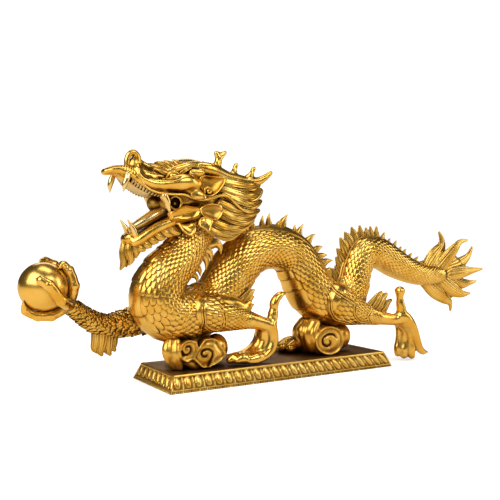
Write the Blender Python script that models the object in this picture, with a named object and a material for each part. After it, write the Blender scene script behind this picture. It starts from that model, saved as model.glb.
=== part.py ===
"""Cast dragon striding over scroll clouds on a petal-bordered plinth, with a pearl in its raised claw.

Millimetres are used throughout and turned into metres when a mesh is made. +X runs from the head
towards the tail, -Y is the side that faces the viewer, +Z is up. The origin is the middle of the
plinth's underside. The figure's points are drawn from the middle of the plinth's top.
"""
import math

import bmesh
import bpy
import numpy as np

MM = 0.001

# Plinth
PLINTH_LENGTH = 180.0
PLINTH_WIDTH = 60.4
PLINTH_HEIGHT = 10.8
PLINTH_TAPER = 4.35
FOOT_BAND = 2.0
RIM_BAND = 1.5
BAND_STEP = 0.7
PETAL_PITCH = 7.6
PETAL_RISE = 0.9

# Pearl, and the gap kept between touching pieces
PEARL_RADIUS = 15.3
FIT_GAP = 0.3

# Figure: its height above the plinth, and the height at which its points are drawn
FIGURE_HEIGHT = 141.5
DRAWN_HEIGHT = 141.5
FIGURE = FIGURE_HEIGHT / DRAWN_HEIGHT

# Mesh fineness
SCALE_SIDES = 15
SCALE_PITCH = 5.6
SCALE_TIP = 0.42
SCALE_RISE = 1.2
FUSE_VOXEL = 0.85
PEARL_FACET = 4.0
PEARL_ROUNDS = int(round(math.pi * PEARL_RADIUS / PEARL_FACET))
PEARL_SIDES = PEARL_ROUNDS * 3 // 2
CREASE = math.radians(22)
KEPT_SHARE = 0.0160

# Body: cosine past which it is belly, and the radius from which its scales stand at full height
BELLY_COSINE = -0.72
FULL_SCALE_RADIUS = 9

ACROSS = (0.0, 1.0, 0.0)
UPWARD = (0.0, 0.0, 1.0)

# Spine of the body from the skull to the tail's tip: x, y, z, radius
BODY = (
    (-50, -1, 101, 14.5), (-64, -2, 86, 15.5), (-73.5, -3, 73, 16.8), (-83, -3, 60, 18.3),
    (-86.5, -2, 47, 19.3), (-82.5, -1, 36, 19.5), (-69, 0, 33, 18.8), (-54, 0, 35, 17.2),
    (-40.5, 1, 42, 15.5), (-30, 2, 52.5, 14.6), (-21, 3, 64, 14), (-9.5, 4, 74, 14.4),
    (6.5, 5, 78.3, 14.6), (22.5, 4, 72.8, 15), (32.5, 3, 59, 15.8), (41.5, 2, 45, 16.3),
    (53, 0, 35, 16.6), (67, 0, 35.5, 15.4), (75.5, 0, 46, 13.3), (80.5, 1, 60, 12.4),
    (89, 2, 72.5, 12.2), (104, 2, 72, 11.6), (120, 1, 64.5, 10.4), (136, 0, 57.5, 8.6),
    (152, 0, 53.5, 7.3), (167, 0, 52.5, 6), (176, 0, 52.5, 4.2),
)

# Spines along the back: share of the body's length where a run starts and ends, height there
SPINE_RUNS = (
    (0.08, 0.20, 5.0, 4.0), (0.36, 0.60, 8.0, 8.0), (0.665, 0.84, 6.5, 6.5), (0.85, 0.93, 3.5, 2.0),
)
SPINE_SPACING = 6.4
SPINE_SUNK = 1.5
SPINE_LEAN = 0.55

# Rounded end of the tail under the flames: x, y, z and three half sizes
TAIL_END = (178, 0, 54, 14, 4.2, 12)
# Tail flames, root to tip: x, y, z, half height, half thickness
FLAMES = (
    ((154.5, 0, 56.5, 6.6, 4), (164.5, 1, 67, 7.5, 3.4), (175, 3, 76, 4.8, 2.4),
     (175.5, 3, 82.5, 2.6, 1.6), (172.5, 3, 88, 1.1, 0.9)),
    ((166, 0, 55, 7.5, 4), (176.5, -2, 66.5, 5.9, 3.4), (184, -4, 75, 3.8, 2.4),
     (190, -4, 80, 2.1, 1.5), (198, -4, 81.5, 1, 0.9)),
    ((175.5, 0, 54, 7.5, 4), (195.5, 2, 61, 5.1, 3), (207.5, 3, 67.5, 2.8, 1.8), (212.5, 3, 75, 1, 0.9)),
    ((180, 0, 53, 6.7, 4), (196, -2, 54.5, 4.7, 3), (207, -3, 55.5, 2.4, 1.7), (218, -3, 56.5, 1, 0.9)),
    ((176.5, 0, 50.5, 6.7, 4), (197, 2, 44.5, 4.7, 3), (209, 3, 44.5, 2.4, 1.7), (217.5, 3, 45.5, 1, 0.9)),
    ((171, 0, 49, 6.7, 4), (183, -2, 40.5, 5.9, 3.2), (194, -3, 36, 2.9, 1.9), (203, -3, 36, 1, 0.9)),
    ((152.5, 0, 48, 4.9, 4), (164, 0, 40, 6.6, 3.4), (176.5, 1, 33.5, 5.5, 2.8),
     (185, 2, 28, 2.7, 1.7), (185.5, 2, 22, 1.1, 0.9)),
)

# Raised far foreleg, which holds the pearl: x, y, z, radius
RAISED_ARM = (
    (-70, 9, 32, 10), (-84.5, 17, 29, 10.7), (-99.5, 20, 29.5, 9.9), (-112, 20, 27.5, 7.8),
    (-122.5, 19.5, 31, 7.1), (-130.5, 18.5, 37, 6), (-137, 17.5, 41.5, 5.6), (-140, 17, 44, 5.4),
)
ELBOW_TUFT = (
    ((-118, 20, 24, 4.5), (-119.5, 20, 16, 3.4), (-121.5, 20, 11, 1.6)),
    ((-113, 20, 24, 5), (-114, 20, 15, 4), (-115, 20, 9, 1.8)),
    ((-108, 20, 24, 4.5), (-108.5, 20, 16, 3.4), (-106.5, 20, 10.5, 1.6)),
)
PEARL_CENTRE = (-154.0, 17.0, 54.5)
# Palm: its direction from the pearl's centre, its distance behind the surface, three half sizes
PALM = (0.8, 0.0, -0.6)
PALM_SUNK = 2.2
PALM_SIZE = (5.5, 7, 6)
# Fingers as directions from the pearl's centre, palm to claw
FINGERS = (
    ((0.79, -0.1, -0.6), (0.65, -0.68, -0.32), (0.4, -0.92, 0), (0.17, -0.97, 0.2), (-0.09, -0.96, 0.28)),
    ((0.79, 0, -0.6), (0.23, -0.1, -0.96), (-0.2, -0.06, -0.98), (-0.6, 0, -0.8), (-0.75, -0.2, -0.62)),
    ((0.79, 0, -0.6), (0.95, -0.25, 0.01), (0.82, -0.23, 0.54), (0.65, -0.2, 0.74), (0.5, -0.45, 0.74)),
    ((0.79, 0.1, -0.6), (0.75, 0.6, 0.25), (0.5, 0.5, 0.7), (0.2, 0.45, 0.87), (0, 0.3, 0.95)),
)
FINGER_RADII = (3.6, 3.2, 3.0, 2.5, 1.2)

# Near foreleg: leg, upright thumb, palm and three toes
NEAR_FORELEG = (
    ((-57, -8, 36, 13.5), (-45, -12.5, 33.5, 12.2), (-34, -15.5, 31, 9.1), (-24.5, -18.5, 28.7, 6.4),
     (-16, -20, 27.5, 6)),
    ((-14.5, -20, 29, 4.6), (-10.5, -20, 37, 3.7), (-8, -20, 43.5, 3.1), (-4, -20, 46.5, 2.7),
     (1, -20, 46.5, 1.9)),
    ((-16, -20, 28.5, 5.7), (-11, -21, 23.5, 5.6), (-9.5, -21.5, 14, 5), (-12, -21.5, 6.5, 4.3)),
    ((-12, -21.5, 8, 4), (-19, -22, 3.2, 3.8), (-26.5, -22, 3, 3.4), (-31.5, -21.5, -0.5, 2)),
    ((-12.5, -18.5, 13.5, 3.7), (-21, -18.5, 8, 3.7), (-30, -18, 5.6, 3.6), (-35.5, -18, 0, 2)),
    ((-12, -15.5, 17.5, 3.8), (-21.5, -14.5, 11.5, 3.7), (-31.5, -13.5, 7.5, 3.7), (-38, -13, 0, 2)),
    ((-31.5, -14, 36, 5.4), (-25, -14, 43, 4.1), (-21.5, -14, 48.5, 1.6)),
)

# Near hind leg: leg, upright thumb and four hanging toes
NEAR_HINDLEG = (
    ((53, -8, 37.5, 15), (62, -12.5, 31.5, 12.6), (73, -16, 28, 8.9), (87, -18, 25, 7.5),
     (99, -20, 21.8, 6.1), (107, -21, 21, 6.1)),
    ((108.5, -21, 22.5, 5.6), (109.5, -21, 32, 4.4), (107.5, -21, 39.5, 3.4), (107, -21, 43.5, 3.9)),
    ((107, -21.5, 26, 5.6), (116, -23, 19.5, 4.7), (121.5, -23.5, 8, 3.8), (124.5, -23.5, 0.5, 3.4),
     (131, -23.5, -4, 2.2)),
    ((110, -20, 19, 5), (116, -20.5, 6.5, 3.6), (116.5, -20.5, -1, 3.6), (118.5, -20.5, -7.3, 2.3)),
    ((109, -17.5, 18, 4.8), (112.5, -16, 6.5, 3.6), (112.5, -15.5, -1, 3.6), (114, -15.5, -7.3, 2.3)),
    ((108, -16, 18, 4.6), (109.5, -12, 6.5, 3.4), (109, -11, -0.5, 3.4), (110.5, -11, -6, 2.1)),
    ((80, -17, 29, 6.7), (85.5, -17, 37, 4.6), (89.5, -17, 43, 1.6)),
    ((84, -17, 28, 5), (91, -17, 33.5, 4), (97.5, -17, 37.5, 1.5)),
)

# Far hind leg, which reaches forward onto the plinth
FAR_HINDLEG = (
    ((58, 7, 34, 13), (54, 14, 19, 9), (47, 15, 8, 5.6), (38, 13, 3, 3.8)),
    ((38, 16, 3, 3.4), (28, 17, 2.6, 3.3), (22, 17, 0, 2)),
    ((38, 12, 3, 3.4), (26, 11, 2.8, 3.4), (19, 10.5, 0, 2)),
    ((38, 8, 3, 3.4), (28, 5, 2.6, 3.3), (21, 4, 0, 2)),
)

# Clouds under the body: x, y, z and three half sizes of rounded masses, then the folds
CLOUD_MASSES = (
    (-62, 0, 9, 17, 13, 15), (-56.5, -11, 10.2, 12, 7.2, 10.2), (-71.5, -11, 12.5, 8, 6.5, 7.6),
    (-43, -3, 10.5, 8, 9, 10), (-58, 12, 10, 13, 7, 10),
    (41, 0, 9, 18, 13, 13), (44, -12, 11.2, 11.4, 6.8, 11), (56.5, -7, 11, 8.5, 8, 10.5),
    (40, 12, 9, 10, 7, 10), (50, 12, 10, 12, 7, 10.5),
)
CLOUD_FOLDS = (
    ((-76, -2, 22, 5), (-79, -4, 11.5, 5), (-76, -5, 0, 3.4)),
    ((-74, -8, 21, 4), (-75.5, -9, 11, 4), (-73, -8, 0, 3)),
    ((31, -3, 22, 5), (23.5, -5, 16.5, 5), (28, -6, 7, 3.6)),
    ((33, -8, 22, 4.4), (29, -10, 15.5, 4.6), (34, -10, 6, 3.4)),
    ((-72, 8, 20, 5), (-73, 9, 10, 4.6), (-70, 8, 0, 3.4)),
)
# Scroll centres, each a raised spiral on a rounded mass: x, y, z, radius
SCROLLS = ((-56.5, -17.6, 10.2, 4.4), (-71.5, -17, 12.5, 3.4), (44, -18.4, 11.2, 4.6), (50, 18.6, 10, 4.2),
           (-58, 18.6, 10, 4.2))

# Head. Rows with five numbers after the place are half width across and half height
SKULL = ((-28, 0, 103, 11, 12), (-42, 0, 110, 16, 16), (-58, 0, 115, 16.5, 16), (-72, 0, 118, 14, 13),
         (-82, 0, 120, 11.5, 9.5), (-91, 0, 122.5, 10.5, 6.6), (-100, 0, 125, 9.6, 4.8),
         (-109, 0, 127.2, 8.6, 3.2), (-117, 0, 127, 6.2, 2.3), (-121, 0, 125.8, 3.4, 1.5))
JAW = ((-50, 0, 106, 14, 8), (-64, 0, 101, 12.5, 6.5), (-78, 0, 96.5, 10.8, 5.4), (-90, 0, 92, 9.4, 4.8),
       (-100, 0, 87, 8.4, 4.8), (-106, 0, 84.5, 6.8, 5.2))
THROAT = ((-60, 0, 106, 13, 12), (-72, 0, 107, 12, 10), (-82, 0, 107, 9, 6))
PALATE = ((-90, 0, 117, 8.5, 5), (-100, 0, 120, 8.5, 4), (-109, 0, 123.5, 7.5, 2.6), (-113, 0, 124.5, 5, 1.6))
TONGUE = ((-78, 0, 104, 5.5, 3), (-90, 0, 99, 5, 2.2), (-100, 0, 94.5, 3.6, 1.4))
NOSE = ((-102, 0, 129, 5, 5), (-102.5, 0, 135, 4.6, 4.2), (-102.5, 0, 138.6, 3, 2.4))
NOSE_BACK = ((-101, 0, 134, 4, 3), (-95.5, 0, 131, 4, 3), (-88, 0, 127.5, 5, 3))
CROWN = ((-84, 0, 127, 8, 3.5), (-72, 0, 130.5, 11, 4.5), (-58, 0, 131, 11.5, 5), (-44, 0, 126, 11, 6))
BEARD = ((-104, 0, 86, 6.5, 5), (-106.5, 0, 79, 6, 5), (-107.5, 0, 72.5, 4.5, 3.6), (-109.5, 0, 66, 1.6, 1.4))

# Paired head forms, drawn on the near side and mirrored: x, y, z, radius
PAIRED = (
    ((-97.5, -8.5, 125.5, 2.2), (-95.5, -11, 119.5, 2.8), (-88.5, -12, 117, 3.3), (-79, -13.5, 116.5, 4.3),
     (-68, -14.5, 118, 5.2), (-60, -14.5, 122, 4)),
    ((-102, -9, 126, 1.5), (-97.5, -11.5, 115.5, 1.6), (-91, -13, 112.7, 1.6), (-82.5, -14.5, 112.2, 1.6),
     (-73, -16, 112.7, 1.6), (-66, -17.5, 109.7, 1.6), (-59, -19, 109.2, 1.6), (-52, -20.5, 111, 1.6),
     (-44, -22, 109.5, 1.6), (-36, -22.5, 103, 1.5), (-30, -22.5, 101, 1.2)),
    ((-82.5, -10.5, 124.5, 3.6), (-81, -10.5, 124.5, 3.6)),
    ((-70, -10, 130, 4.5), (-79, -10.5, 130.5, 4), (-86, -7.5, 130.5, 2.8), (-91.5, -4.5, 129.5, 1.3)),
    ((-88, -9, 126.5, 1.8), (-80, -12.5, 130, 2.6), (-68, -12, 133, 3), (-57, -9, 133.8, 2.4)),
    ((-62, -14, 121, 3.2), (-56, -17, 119.5, 5.4), (-50, -19.5, 121, 4.8), (-46, -22, 124.5, 1.8)),
    ((-111.5, -7.6, 125.5, 1.6), (-112.3, -8.2, 120, 1.3), (-112.3, -8.4, 114.8, 0.8)),
    ((-101.5, -5.5, 88, 2), (-103.5, -5.8, 92, 1.4), (-106, -6, 95.5, 0.8)),
    ((-83.7, -9, 110, 2.2), (-83, -9.4, 105, 1.6), (-81.5, -9.4, 100.5, 0.9)),
    ((-60, -12, 104, 4), (-56, -15.5, 102, 3.6), (-50, -17.5, 101.5, 1.6)),
    ((-62, -11, 101, 4), (-59.5, -14, 96, 3.4), (-58, -15, 91, 1.4)),
    ((-72, -9, 97, 3.8), (-69, -11, 92, 3.2), (-67, -12, 87.2, 1.4)),
)

# Horns: beam, forked tine and two plain tines. The far horn leans outward and lower
HORN = (
    ((-61, -8, 130, 5), (-52, -10, 130.3, 5), (-43.5, -11, 127.5, 4.2), (-31, -12.5, 124.5, 3.4),
     (-18, -14, 123.3, 2.8), (-9.5, -15, 129, 1.4)),
    ((-47, -10.5, 129, 3), (-45.5, -10.5, 134, 2.2), (-44.5, -10.5, 137, 2)),
    ((-44.5, -10.5, 136.5, 1.9), (-46.5, -10.5, 140.4, 1.5)),
    ((-44.5, -10.5, 136.5, 1.9), (-41.3, -10.5, 140.6, 1.5)),
    ((-34, -12, 125, 2.8), (-33.5, -12.5, 130, 2), (-33.5, -12.5, 134, 1.5)),
    ((-22, -14, 123.5, 2.6), (-21, -14, 128, 1.9), (-20.5, -14, 132, 1.3)),
)
FAR_HORN_LEAN = math.radians(38)
FAR_HORN_AXIS = (0.0, 9.0, 126.0)

# Mane: locks that fan out behind the cheeks, in layers
MANE_CENTRE = (-50.0, 110.0)
MANE_LOCKS = 9
MANE_LAYERS = 3
MANE_START = math.radians(28)
MANE_SWEEP = math.radians(150)
MANE_REACH = (39.0, 27.0)
MANE_SIDE = (9.0, 20.5)
# Back of the skull under the mane: x, y, z and three half sizes
NAPE = (-42, 0, 107, 16, 15, 17)
# Fringe under the jaw: its count, its first x and z, and how far it runs in x and z
FRINGE_LOCKS = 6
FRINGE_START = (-100, 84)
FRINGE_RUN = (27, 9.5)


def smooth_path(rows, step):
    """Points along a centripetal Catmull-Rom curve through the rows, about a step apart."""
    rows = np.array(rows, dtype=float)
    ends = np.vstack([2 * rows[0] - rows[1], rows, 2 * rows[-1] - rows[-2]])
    out = []
    for i in range(1, len(ends) - 2):
        p = ends[i - 1:i + 3]
        gaps = np.sqrt(np.maximum(np.linalg.norm(np.diff(p[:, :3], axis=0), axis=1), 1e-6))
        t = np.concatenate([[0.0], np.cumsum(gaps)])
        count = max(1, int(math.ceil(np.linalg.norm(p[2, :3] - p[1, :3]) / step)))
        for s in np.linspace(t[1], t[2], count, endpoint=False):
            a = [((t[k + 1] - s) * p[k] + (s - t[k]) * p[k + 1]) / (t[k + 1] - t[k]) for k in range(3)]
            b = [((t[k + 2] - s) * a[k] + (s - t[k]) * a[k + 1]) / (t[k + 2] - t[k]) for k in range(2)]
            out.append(((t[2] - s) * b[0] + (s - t[1]) * b[1]) / (t[2] - t[1]))
    out.append(rows[-1])
    return np.array(out)


def even_path(rows, spacing):
    """The same curve with its points spaced evenly, at the whole count nearest to the spacing."""
    fine = smooth_path(rows, spacing / 12)
    run = np.concatenate([[0.0], np.cumsum(np.linalg.norm(np.diff(fine[:, :3], axis=0), axis=1))])
    count = int(round(run[-1] / spacing))
    marks = np.linspace(0.0, run[-1], count + 1)
    return np.column_stack([np.interp(marks, run, fine[:, c]) for c in range(fine.shape[1])])


def directions(path):
    """Unit directions along a path."""
    d = np.gradient(path[:, :3], axis=0)
    return d / np.linalg.norm(d, axis=1)[:, None]


class Forms:
    """Closed meshes gathered into one, in the figure's millimetres."""

    def __init__(self):
        self.points = []
        self.faces = []

    def add(self, points, faces):
        start = len(self.points)
        self.points.extend(points)
        self.faces.extend([tuple(start + i for i in face) for face in faces])

    def tube(self, rings):
        """Join rings of equal count and close both ends."""
        count = len(rings[0])
        faces = [tuple(reversed(range(count)))]
        for r in range(len(rings) - 1):
            for k in range(count):
                a = r * count + k
                b = r * count + (k + 1) % count
                faces.append((a, b, b + count, a + count))
        last = (len(rings) - 1) * count
        faces.append(tuple(last + k for k in range(count)))
        self.add([p for ring in rings for p in ring], faces)

    def stroke(self, rows, thin=None, sides=12, step=1.8):
        """A tapered stroke with round ends. Rows are x, y, z, half size, and if given a second half
        size along the thin direction."""
        path = smooth_path(rows, step)
        if path.shape[1] == 4:
            path = np.column_stack([path, path[:, 3]])
        d = directions(path)
        if thin is None:
            thin = ACROSS if abs(d[:, 1]).max() < 0.9 else UPWARD
        rings = []
        ends = ((0, -1), (len(path) - 1, 1))
        capped = []
        for index, sign in ends:
            for share in (0.9, 0.6) if sign < 0 else (0.6, 0.9):
                row = path[index].copy()
                reach = min(row[3], row[4])
                row[:3] += sign * d[index] * reach * share
                row[3:5] *= math.sqrt(1 - share * share)
                capped.append((row, d[index]))
        ordered = capped[:2] + list(zip(path, d)) + capped[2:]
        for row, along in ordered:
            t = np.array(thin) - np.dot(thin, along) * along
            t /= np.linalg.norm(t)
            w = np.cross(t, along)
            ring = []
            for k in range(sides):
                a = 2 * math.pi * k / sides
                ring.append(row[:3] + w * row[3] * math.cos(a) + t * row[4] * math.sin(a))
            rings.append(ring)
        self.tube(rings)

    def mass(self, x, y, z, rx, ry, rz, rounds=8, sides=14):
        """An ellipsoid."""
        rings = []
        for i in range(rounds):
            a = math.pi * (i + 0.5) / rounds
            ring = []
            for k in range(sides):
                b = 2 * math.pi * k / sides
                ring.append(np.array((x + rx * math.sin(a) * math.cos(b), y + ry * math.sin(a) * math.sin(b),
                                      z - rz * math.cos(a))))
            rings.append(ring)
        self.tube(rings)


def mirrored(rows):
    """The same rows on the far side."""
    return tuple((row[0], -row[1]) + tuple(row[2:]) for row in rows)


def leaned(rows):
    """Rows turned outward about the far horn's axis."""
    out = []
    for row in rows:
        y = row[1] - FAR_HORN_AXIS[1]
        z = row[2] - FAR_HORN_AXIS[2]
        c = math.cos(FAR_HORN_LEAN)
        s = math.sin(FAR_HORN_LEAN)
        place = (row[0], FAR_HORN_AXIS[1] + y * c + z * s, FAR_HORN_AXIS[2] - y * s + z * c)
        out.append(place + tuple(row[3:]))
    return tuple(out)


def placed(name, forms, to_world):
    """A mesh object from forms, with its points turned into metres."""
    mesh = bpy.data.meshes.new(name)
    mesh.from_pydata([to_world(p) for p in forms.points], [], forms.faces)
    mesh.update()
    mesh.shade_smooth()
    mesh.set_sharp_from_angle(angle=CREASE)
    obj = bpy.data.objects.new(name, mesh)
    bpy.context.scene.collection.objects.link(obj)
    return obj


def on_seat(point):
    """Figure point to world metres: scaled, and seated a fit gap above the plinth."""
    seat = PLINTH_HEIGHT + FIT_GAP
    return (point[0] * FIGURE * MM, point[1] * FIGURE * MM, (point[2] * FIGURE + seat) * MM)


def in_place(point):
    """Plain millimetres to metres."""
    return (point[0] * MM, point[1] * MM, point[2] * MM)


def material(name, colour, roughness):
    """A polished or worn brass."""
    mat = bpy.data.materials.new(name)
    mat.use_nodes = True
    shader = mat.node_tree.nodes["Principled BSDF"]
    shader.inputs["Base Color"].default_value = (*colour, 1.0)
    shader.inputs["Metallic"].default_value = 1.0
    shader.inputs["Roughness"].default_value = roughness
    return mat


def guide(obj):
    """Keep a helper out of the finished model."""
    obj.hide_render = True
    obj.display_type = 'WIRE'
    return obj


def back_normals(path):
    """Unit normals on the dragon's back: the direction turned a quarter turn in the XZ plane."""
    d = directions(path)
    n = np.column_stack([-d[:, 2], np.zeros(len(d)), d[:, 0]])
    return n / np.linalg.norm(n, axis=1)[:, None]


def scaled_body():
    """The long body as a closed tube of staggered rows, one point in three raised as a scale."""
    forms = Forms()
    path = even_path(BODY, SCALE_PITCH)
    d = directions(path)
    n = back_normals(path)
    rings = []
    for i, row in enumerate(path):
        side = np.cross(d[i], n[i])
        up = np.cross(side, d[i])
        ring = []
        for k in range(SCALE_SIDES):
            a = 2 * math.pi * (k + 0.5 * (i % 2)) / SCALE_SIDES
            centre = row[:3].copy()
            radius = row[3] - SCALE_RISE * 0.5
            on_belly = math.cos(a) < BELLY_COSINE
            if on_belly:
                radius += SCALE_RISE * (i % 2)
            elif (k - i // 2 - i) % 3 == 0:
                radius += SCALE_RISE * min(1.0, row[3] / FULL_SCALE_RADIUS)
                centre += d[i] * SCALE_PITCH * SCALE_TIP
            ring.append(centre + up * radius * math.cos(a) + side * radius * math.sin(a))
        rings.append(ring)
    points = [p for ring in rings for p in ring]
    faces = [tuple(reversed(range(SCALE_SIDES)))]
    for i in range(len(rings) - 1):
        low = i * SCALE_SIDES
        high = low + SCALE_SIDES
        shift = i % 2
        for k in range(SCALE_SIDES):
            after = (k + 1) % SCALE_SIDES
            if shift:
                faces.append((low + k, high + after, high + k))
                faces.append((low + k, low + after, high + after))
            else:
                faces.append((low + k, low + after, high + k))
                faces.append((low + after, high + after, high + k))
    last = (len(rings) - 1) * SCALE_SIDES
    faces.append(tuple(last + k for k in range(SCALE_SIDES)))
    forms.add(points, faces)
    return forms


def add_spines(forms):
    """Fin-like spines that lean towards the tail along the back."""
    path = even_path(BODY, 1.0)
    d = directions(path)
    n = back_normals(path)
    for start, end, first, last in SPINE_RUNS:
        length = (end - start) * len(path)
        count = max(2, int(round(length / SPINE_SPACING)))
        for i in range(count + 1):
            share = i / count
            at = int((start + (end - start) * share) * (len(path) - 1))
            height = first + (last - first) * share
            root = path[at, :3] + n[at] * (path[at, 3] - SPINE_SUNK)
            lean = d[at] * height * SPINE_LEAN
            tip = root + n[at] * (height + SPINE_SUNK) + lean
            middle = root + n[at] * (height * 0.5 + 1) + lean * 0.25
            forms.stroke(((*root, 3.1, 1.7), (*middle, 2.1, 1.3), (*tip, 0.9, 0.8)), ACROSS, 8, 2.5)


def add_tail_flames(forms):
    """Flat tapering flames that fan out from the tail's end."""
    for rows in FLAMES:
        forms.stroke(rows, ACROSS, 12, 2.5)
    forms.mass(*TAIL_END)


def add_hand(forms):
    """Palm behind the pearl, and fingers that follow its surface with a fit gap."""
    centre = np.array(PEARL_CENTRE)
    reach = PEARL_RADIUS / FIGURE
    forms.mass(*(centre + np.array(PALM) * (reach + PALM_SUNK)), *PALM_SIZE)
    for finger in FINGERS:
        rows = []
        for turn, radius in zip(finger, FINGER_RADII):
            unit = np.array(turn) / np.linalg.norm(turn)
            rows.append((*(centre + unit * (reach + radius * 0.8)), radius))
        forms.stroke(rows)


def add_clouds(forms):
    """Scroll clouds between the plinth and the two low bends of the body."""
    for values in CLOUD_MASSES:
        forms.mass(*values)
    for rows in CLOUD_FOLDS:
        forms.stroke(rows)
    for x, y, z, radius in SCROLLS:
        rows = []
        out = math.copysign(1.0, y)
        for i in range(10):
            a = math.radians(40 + 50 * i)
            r = radius * (1 - i / 12)
            rows.append((x + r * math.cos(a), y + out * 0.1 * i, z + r * math.sin(a), 1.25))
        forms.stroke(rows, ACROSS, 8, 1.5)


def add_head(forms):
    """Skull with its upper jaw, lower jaw, mouth, brows, horns, mane and beard."""
    for rows in (SKULL, PALATE, JAW, THROAT, TONGUE, NOSE, NOSE_BACK, CROWN, BEARD):
        forms.stroke([row[:3] + (row[4], row[3]) for row in rows], ACROSS, 16)
    for rows in PAIRED:
        forms.stroke(rows)
        forms.stroke(mirrored(rows))
    for rows in HORN:
        forms.stroke(rows)
        forms.stroke(leaned(mirrored(rows)))
    forms.mass(*NAPE)
    for side in (-1, 1):
        for layer in range(MANE_LAYERS):
            depth = layer / (MANE_LAYERS - 1)
            out = MANE_SIDE[0] + (MANE_SIDE[1] - MANE_SIDE[0]) * depth
            for i in range(MANE_LOCKS - layer):
                share = (i + 0.5 * (layer % 2)) / (MANE_LOCKS - 1)
                a = MANE_START - MANE_SWEEP * share
                long = (MANE_REACH[0] + (MANE_REACH[1] - MANE_REACH[0]) * share) * (1 - 0.1 * depth)
                add_lock(forms, a, long, side * out)
        for i in range(FRINGE_LOCKS):
            share = i / (FRINGE_LOCKS - 1)
            x = FRINGE_START[0] + FRINGE_RUN[0] * share
            z = FRINGE_START[1] + FRINGE_RUN[1] * share
            forms.stroke(((x + 2, side * 6.5, z + 3, 3.2), (x + 1, side * 7.5, z - 2, 2.8),
                          (x + 4, side * 7.5, z - 6, 1.3)), None, 8, 2.5)


def add_lock(forms, angle, reach, side):
    """One lock of the mane: it leaves the cheek, swells and curls to a point."""
    rows = []
    for share, swell in ((0.35, 3.4), (0.6, 3.8), (0.85, 3.0), (1.0, 1.1)):
        turn = angle + 0.22 * math.sin(math.pi * share)
        y = side * (0.75 + 0.25 * math.sin(math.pi * min(1, share * 1.1)))
        rows.append((MANE_CENTRE[0] + reach * share * math.cos(turn), y,
                     MANE_CENTRE[1] + reach * share * math.sin(turn), swell, swell * 0.62))
    forms.stroke(rows, ACROSS, 10, 3)


def carved_forms():
    """Everything of the figure but the long body: head, limbs, spines, flames and clouds."""
    forms = Forms()
    add_head(forms)
    add_spines(forms)
    add_tail_flames(forms)
    forms.stroke(RAISED_ARM)
    for rows in ELBOW_TUFT:
        forms.stroke(rows)
    add_hand(forms)
    for group in (NEAR_FORELEG, NEAR_HINDLEG, FAR_HINDLEG):
        for rows in group:
            forms.stroke(rows)
    add_clouds(forms)
    return forms


def boolean(obj, other, operation):
    """Add an exact Boolean with another object."""
    cut = obj.modifiers.new(operation.title() + " " + other.name, 'BOOLEAN')
    cut.operation = operation
    cut.solver = 'EXACT'
    cut.object = other


def ball(name, radius, rounds, sides):
    """A sphere about the pearl's centre, in its place on the seat."""
    bm = bmesh.new()
    bmesh.ops.create_uvsphere(bm, u_segments=sides, v_segments=rounds, radius=radius)
    centre = on_seat(PEARL_CENTRE)
    mesh = bpy.data.meshes.new(name)
    for v in bm.verts:
        v.co = v.co * MM
        v.co.x += centre[0]
        v.co.y += centre[1]
        v.co.z += centre[2]
    bm.to_mesh(mesh)
    bm.free()
    mesh.shade_smooth()
    obj = bpy.data.objects.new(name, mesh)
    bpy.context.scene.collection.objects.link(obj)
    return obj


def build_pearl():
    """The ball that the raised claw holds."""
    obj = ball("pearl", PEARL_RADIUS, PEARL_ROUNDS, PEARL_SIDES)
    obj.data.materials.append(material("pearl_brass", (0.80, 0.52, 0.16), 0.2))
    return obj


def build_seat_cutter():
    """The plinth's room, a fit gap larger all round, which trims the figure's underside flat."""
    long = PLINTH_LENGTH / 2 + FIT_GAP
    wide = PLINTH_WIDTH / 2 + FIT_GAP
    top = PLINTH_HEIGHT + FIT_GAP
    depth = PLINTH_HEIGHT
    forms = Forms()
    corners = [(x, y, z) for z in (-depth, top) for x, y in ((-long, -wide), (long, -wide), (long, wide),
                                                            (-long, wide))]
    forms.add(corners, [(3, 2, 1, 0), (4, 5, 6, 7), (0, 1, 5, 4), (1, 2, 6, 5), (2, 3, 7, 6), (3, 0, 4, 7)])
    return guide(placed("seat_cutter", forms, in_place))


def build_dragon():
    """The dragon and its clouds as one casting."""
    dragon = placed("dragon", scaled_body(), on_seat)
    rest = guide(placed("carved_forms", carved_forms(), on_seat))
    fuse = rest.modifiers.new("Fuse", 'REMESH')
    fuse.mode = 'VOXEL'
    fuse.voxel_size = FUSE_VOXEL * MM
    fuse.use_smooth_shade = True
    thin_out = rest.modifiers.new("Thin out", 'DECIMATE')
    thin_out.ratio = KEPT_SHARE
    boolean(dragon, rest, 'UNION')
    pearl_room = guide(ball("pearl_cutter", PEARL_RADIUS + FIT_GAP, PEARL_ROUNDS, PEARL_SIDES))
    boolean(dragon, pearl_room, 'DIFFERENCE')
    boolean(dragon, build_seat_cutter(), 'DIFFERENCE')
    dragon.data.materials.append(material("dragon_brass", (0.78, 0.50, 0.15), 0.28))
    return dragon


def plinth_side(length, width):
    """Points round a rectangle at the petal pitch, with the share across a petal and the way out."""
    out = []
    corners = ((-1, -1, 1, 0), (1, -1, 0, 1), (1, 1, -1, 0), (-1, 1, 0, -1))
    for cx, cy, dx, dy in corners:
        run = length if dx else width
        petals = int(round(run / PETAL_PITCH))
        for i in range(petals * 3):
            share = i / (petals * 3)
            petal = i % 3
            x = cx * length / 2 + dx * run * share
            y = cy * width / 2 + dy * run * share
            out.append((x, y, petal != 0, (dy, -dx), i == 0))
    return out


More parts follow.
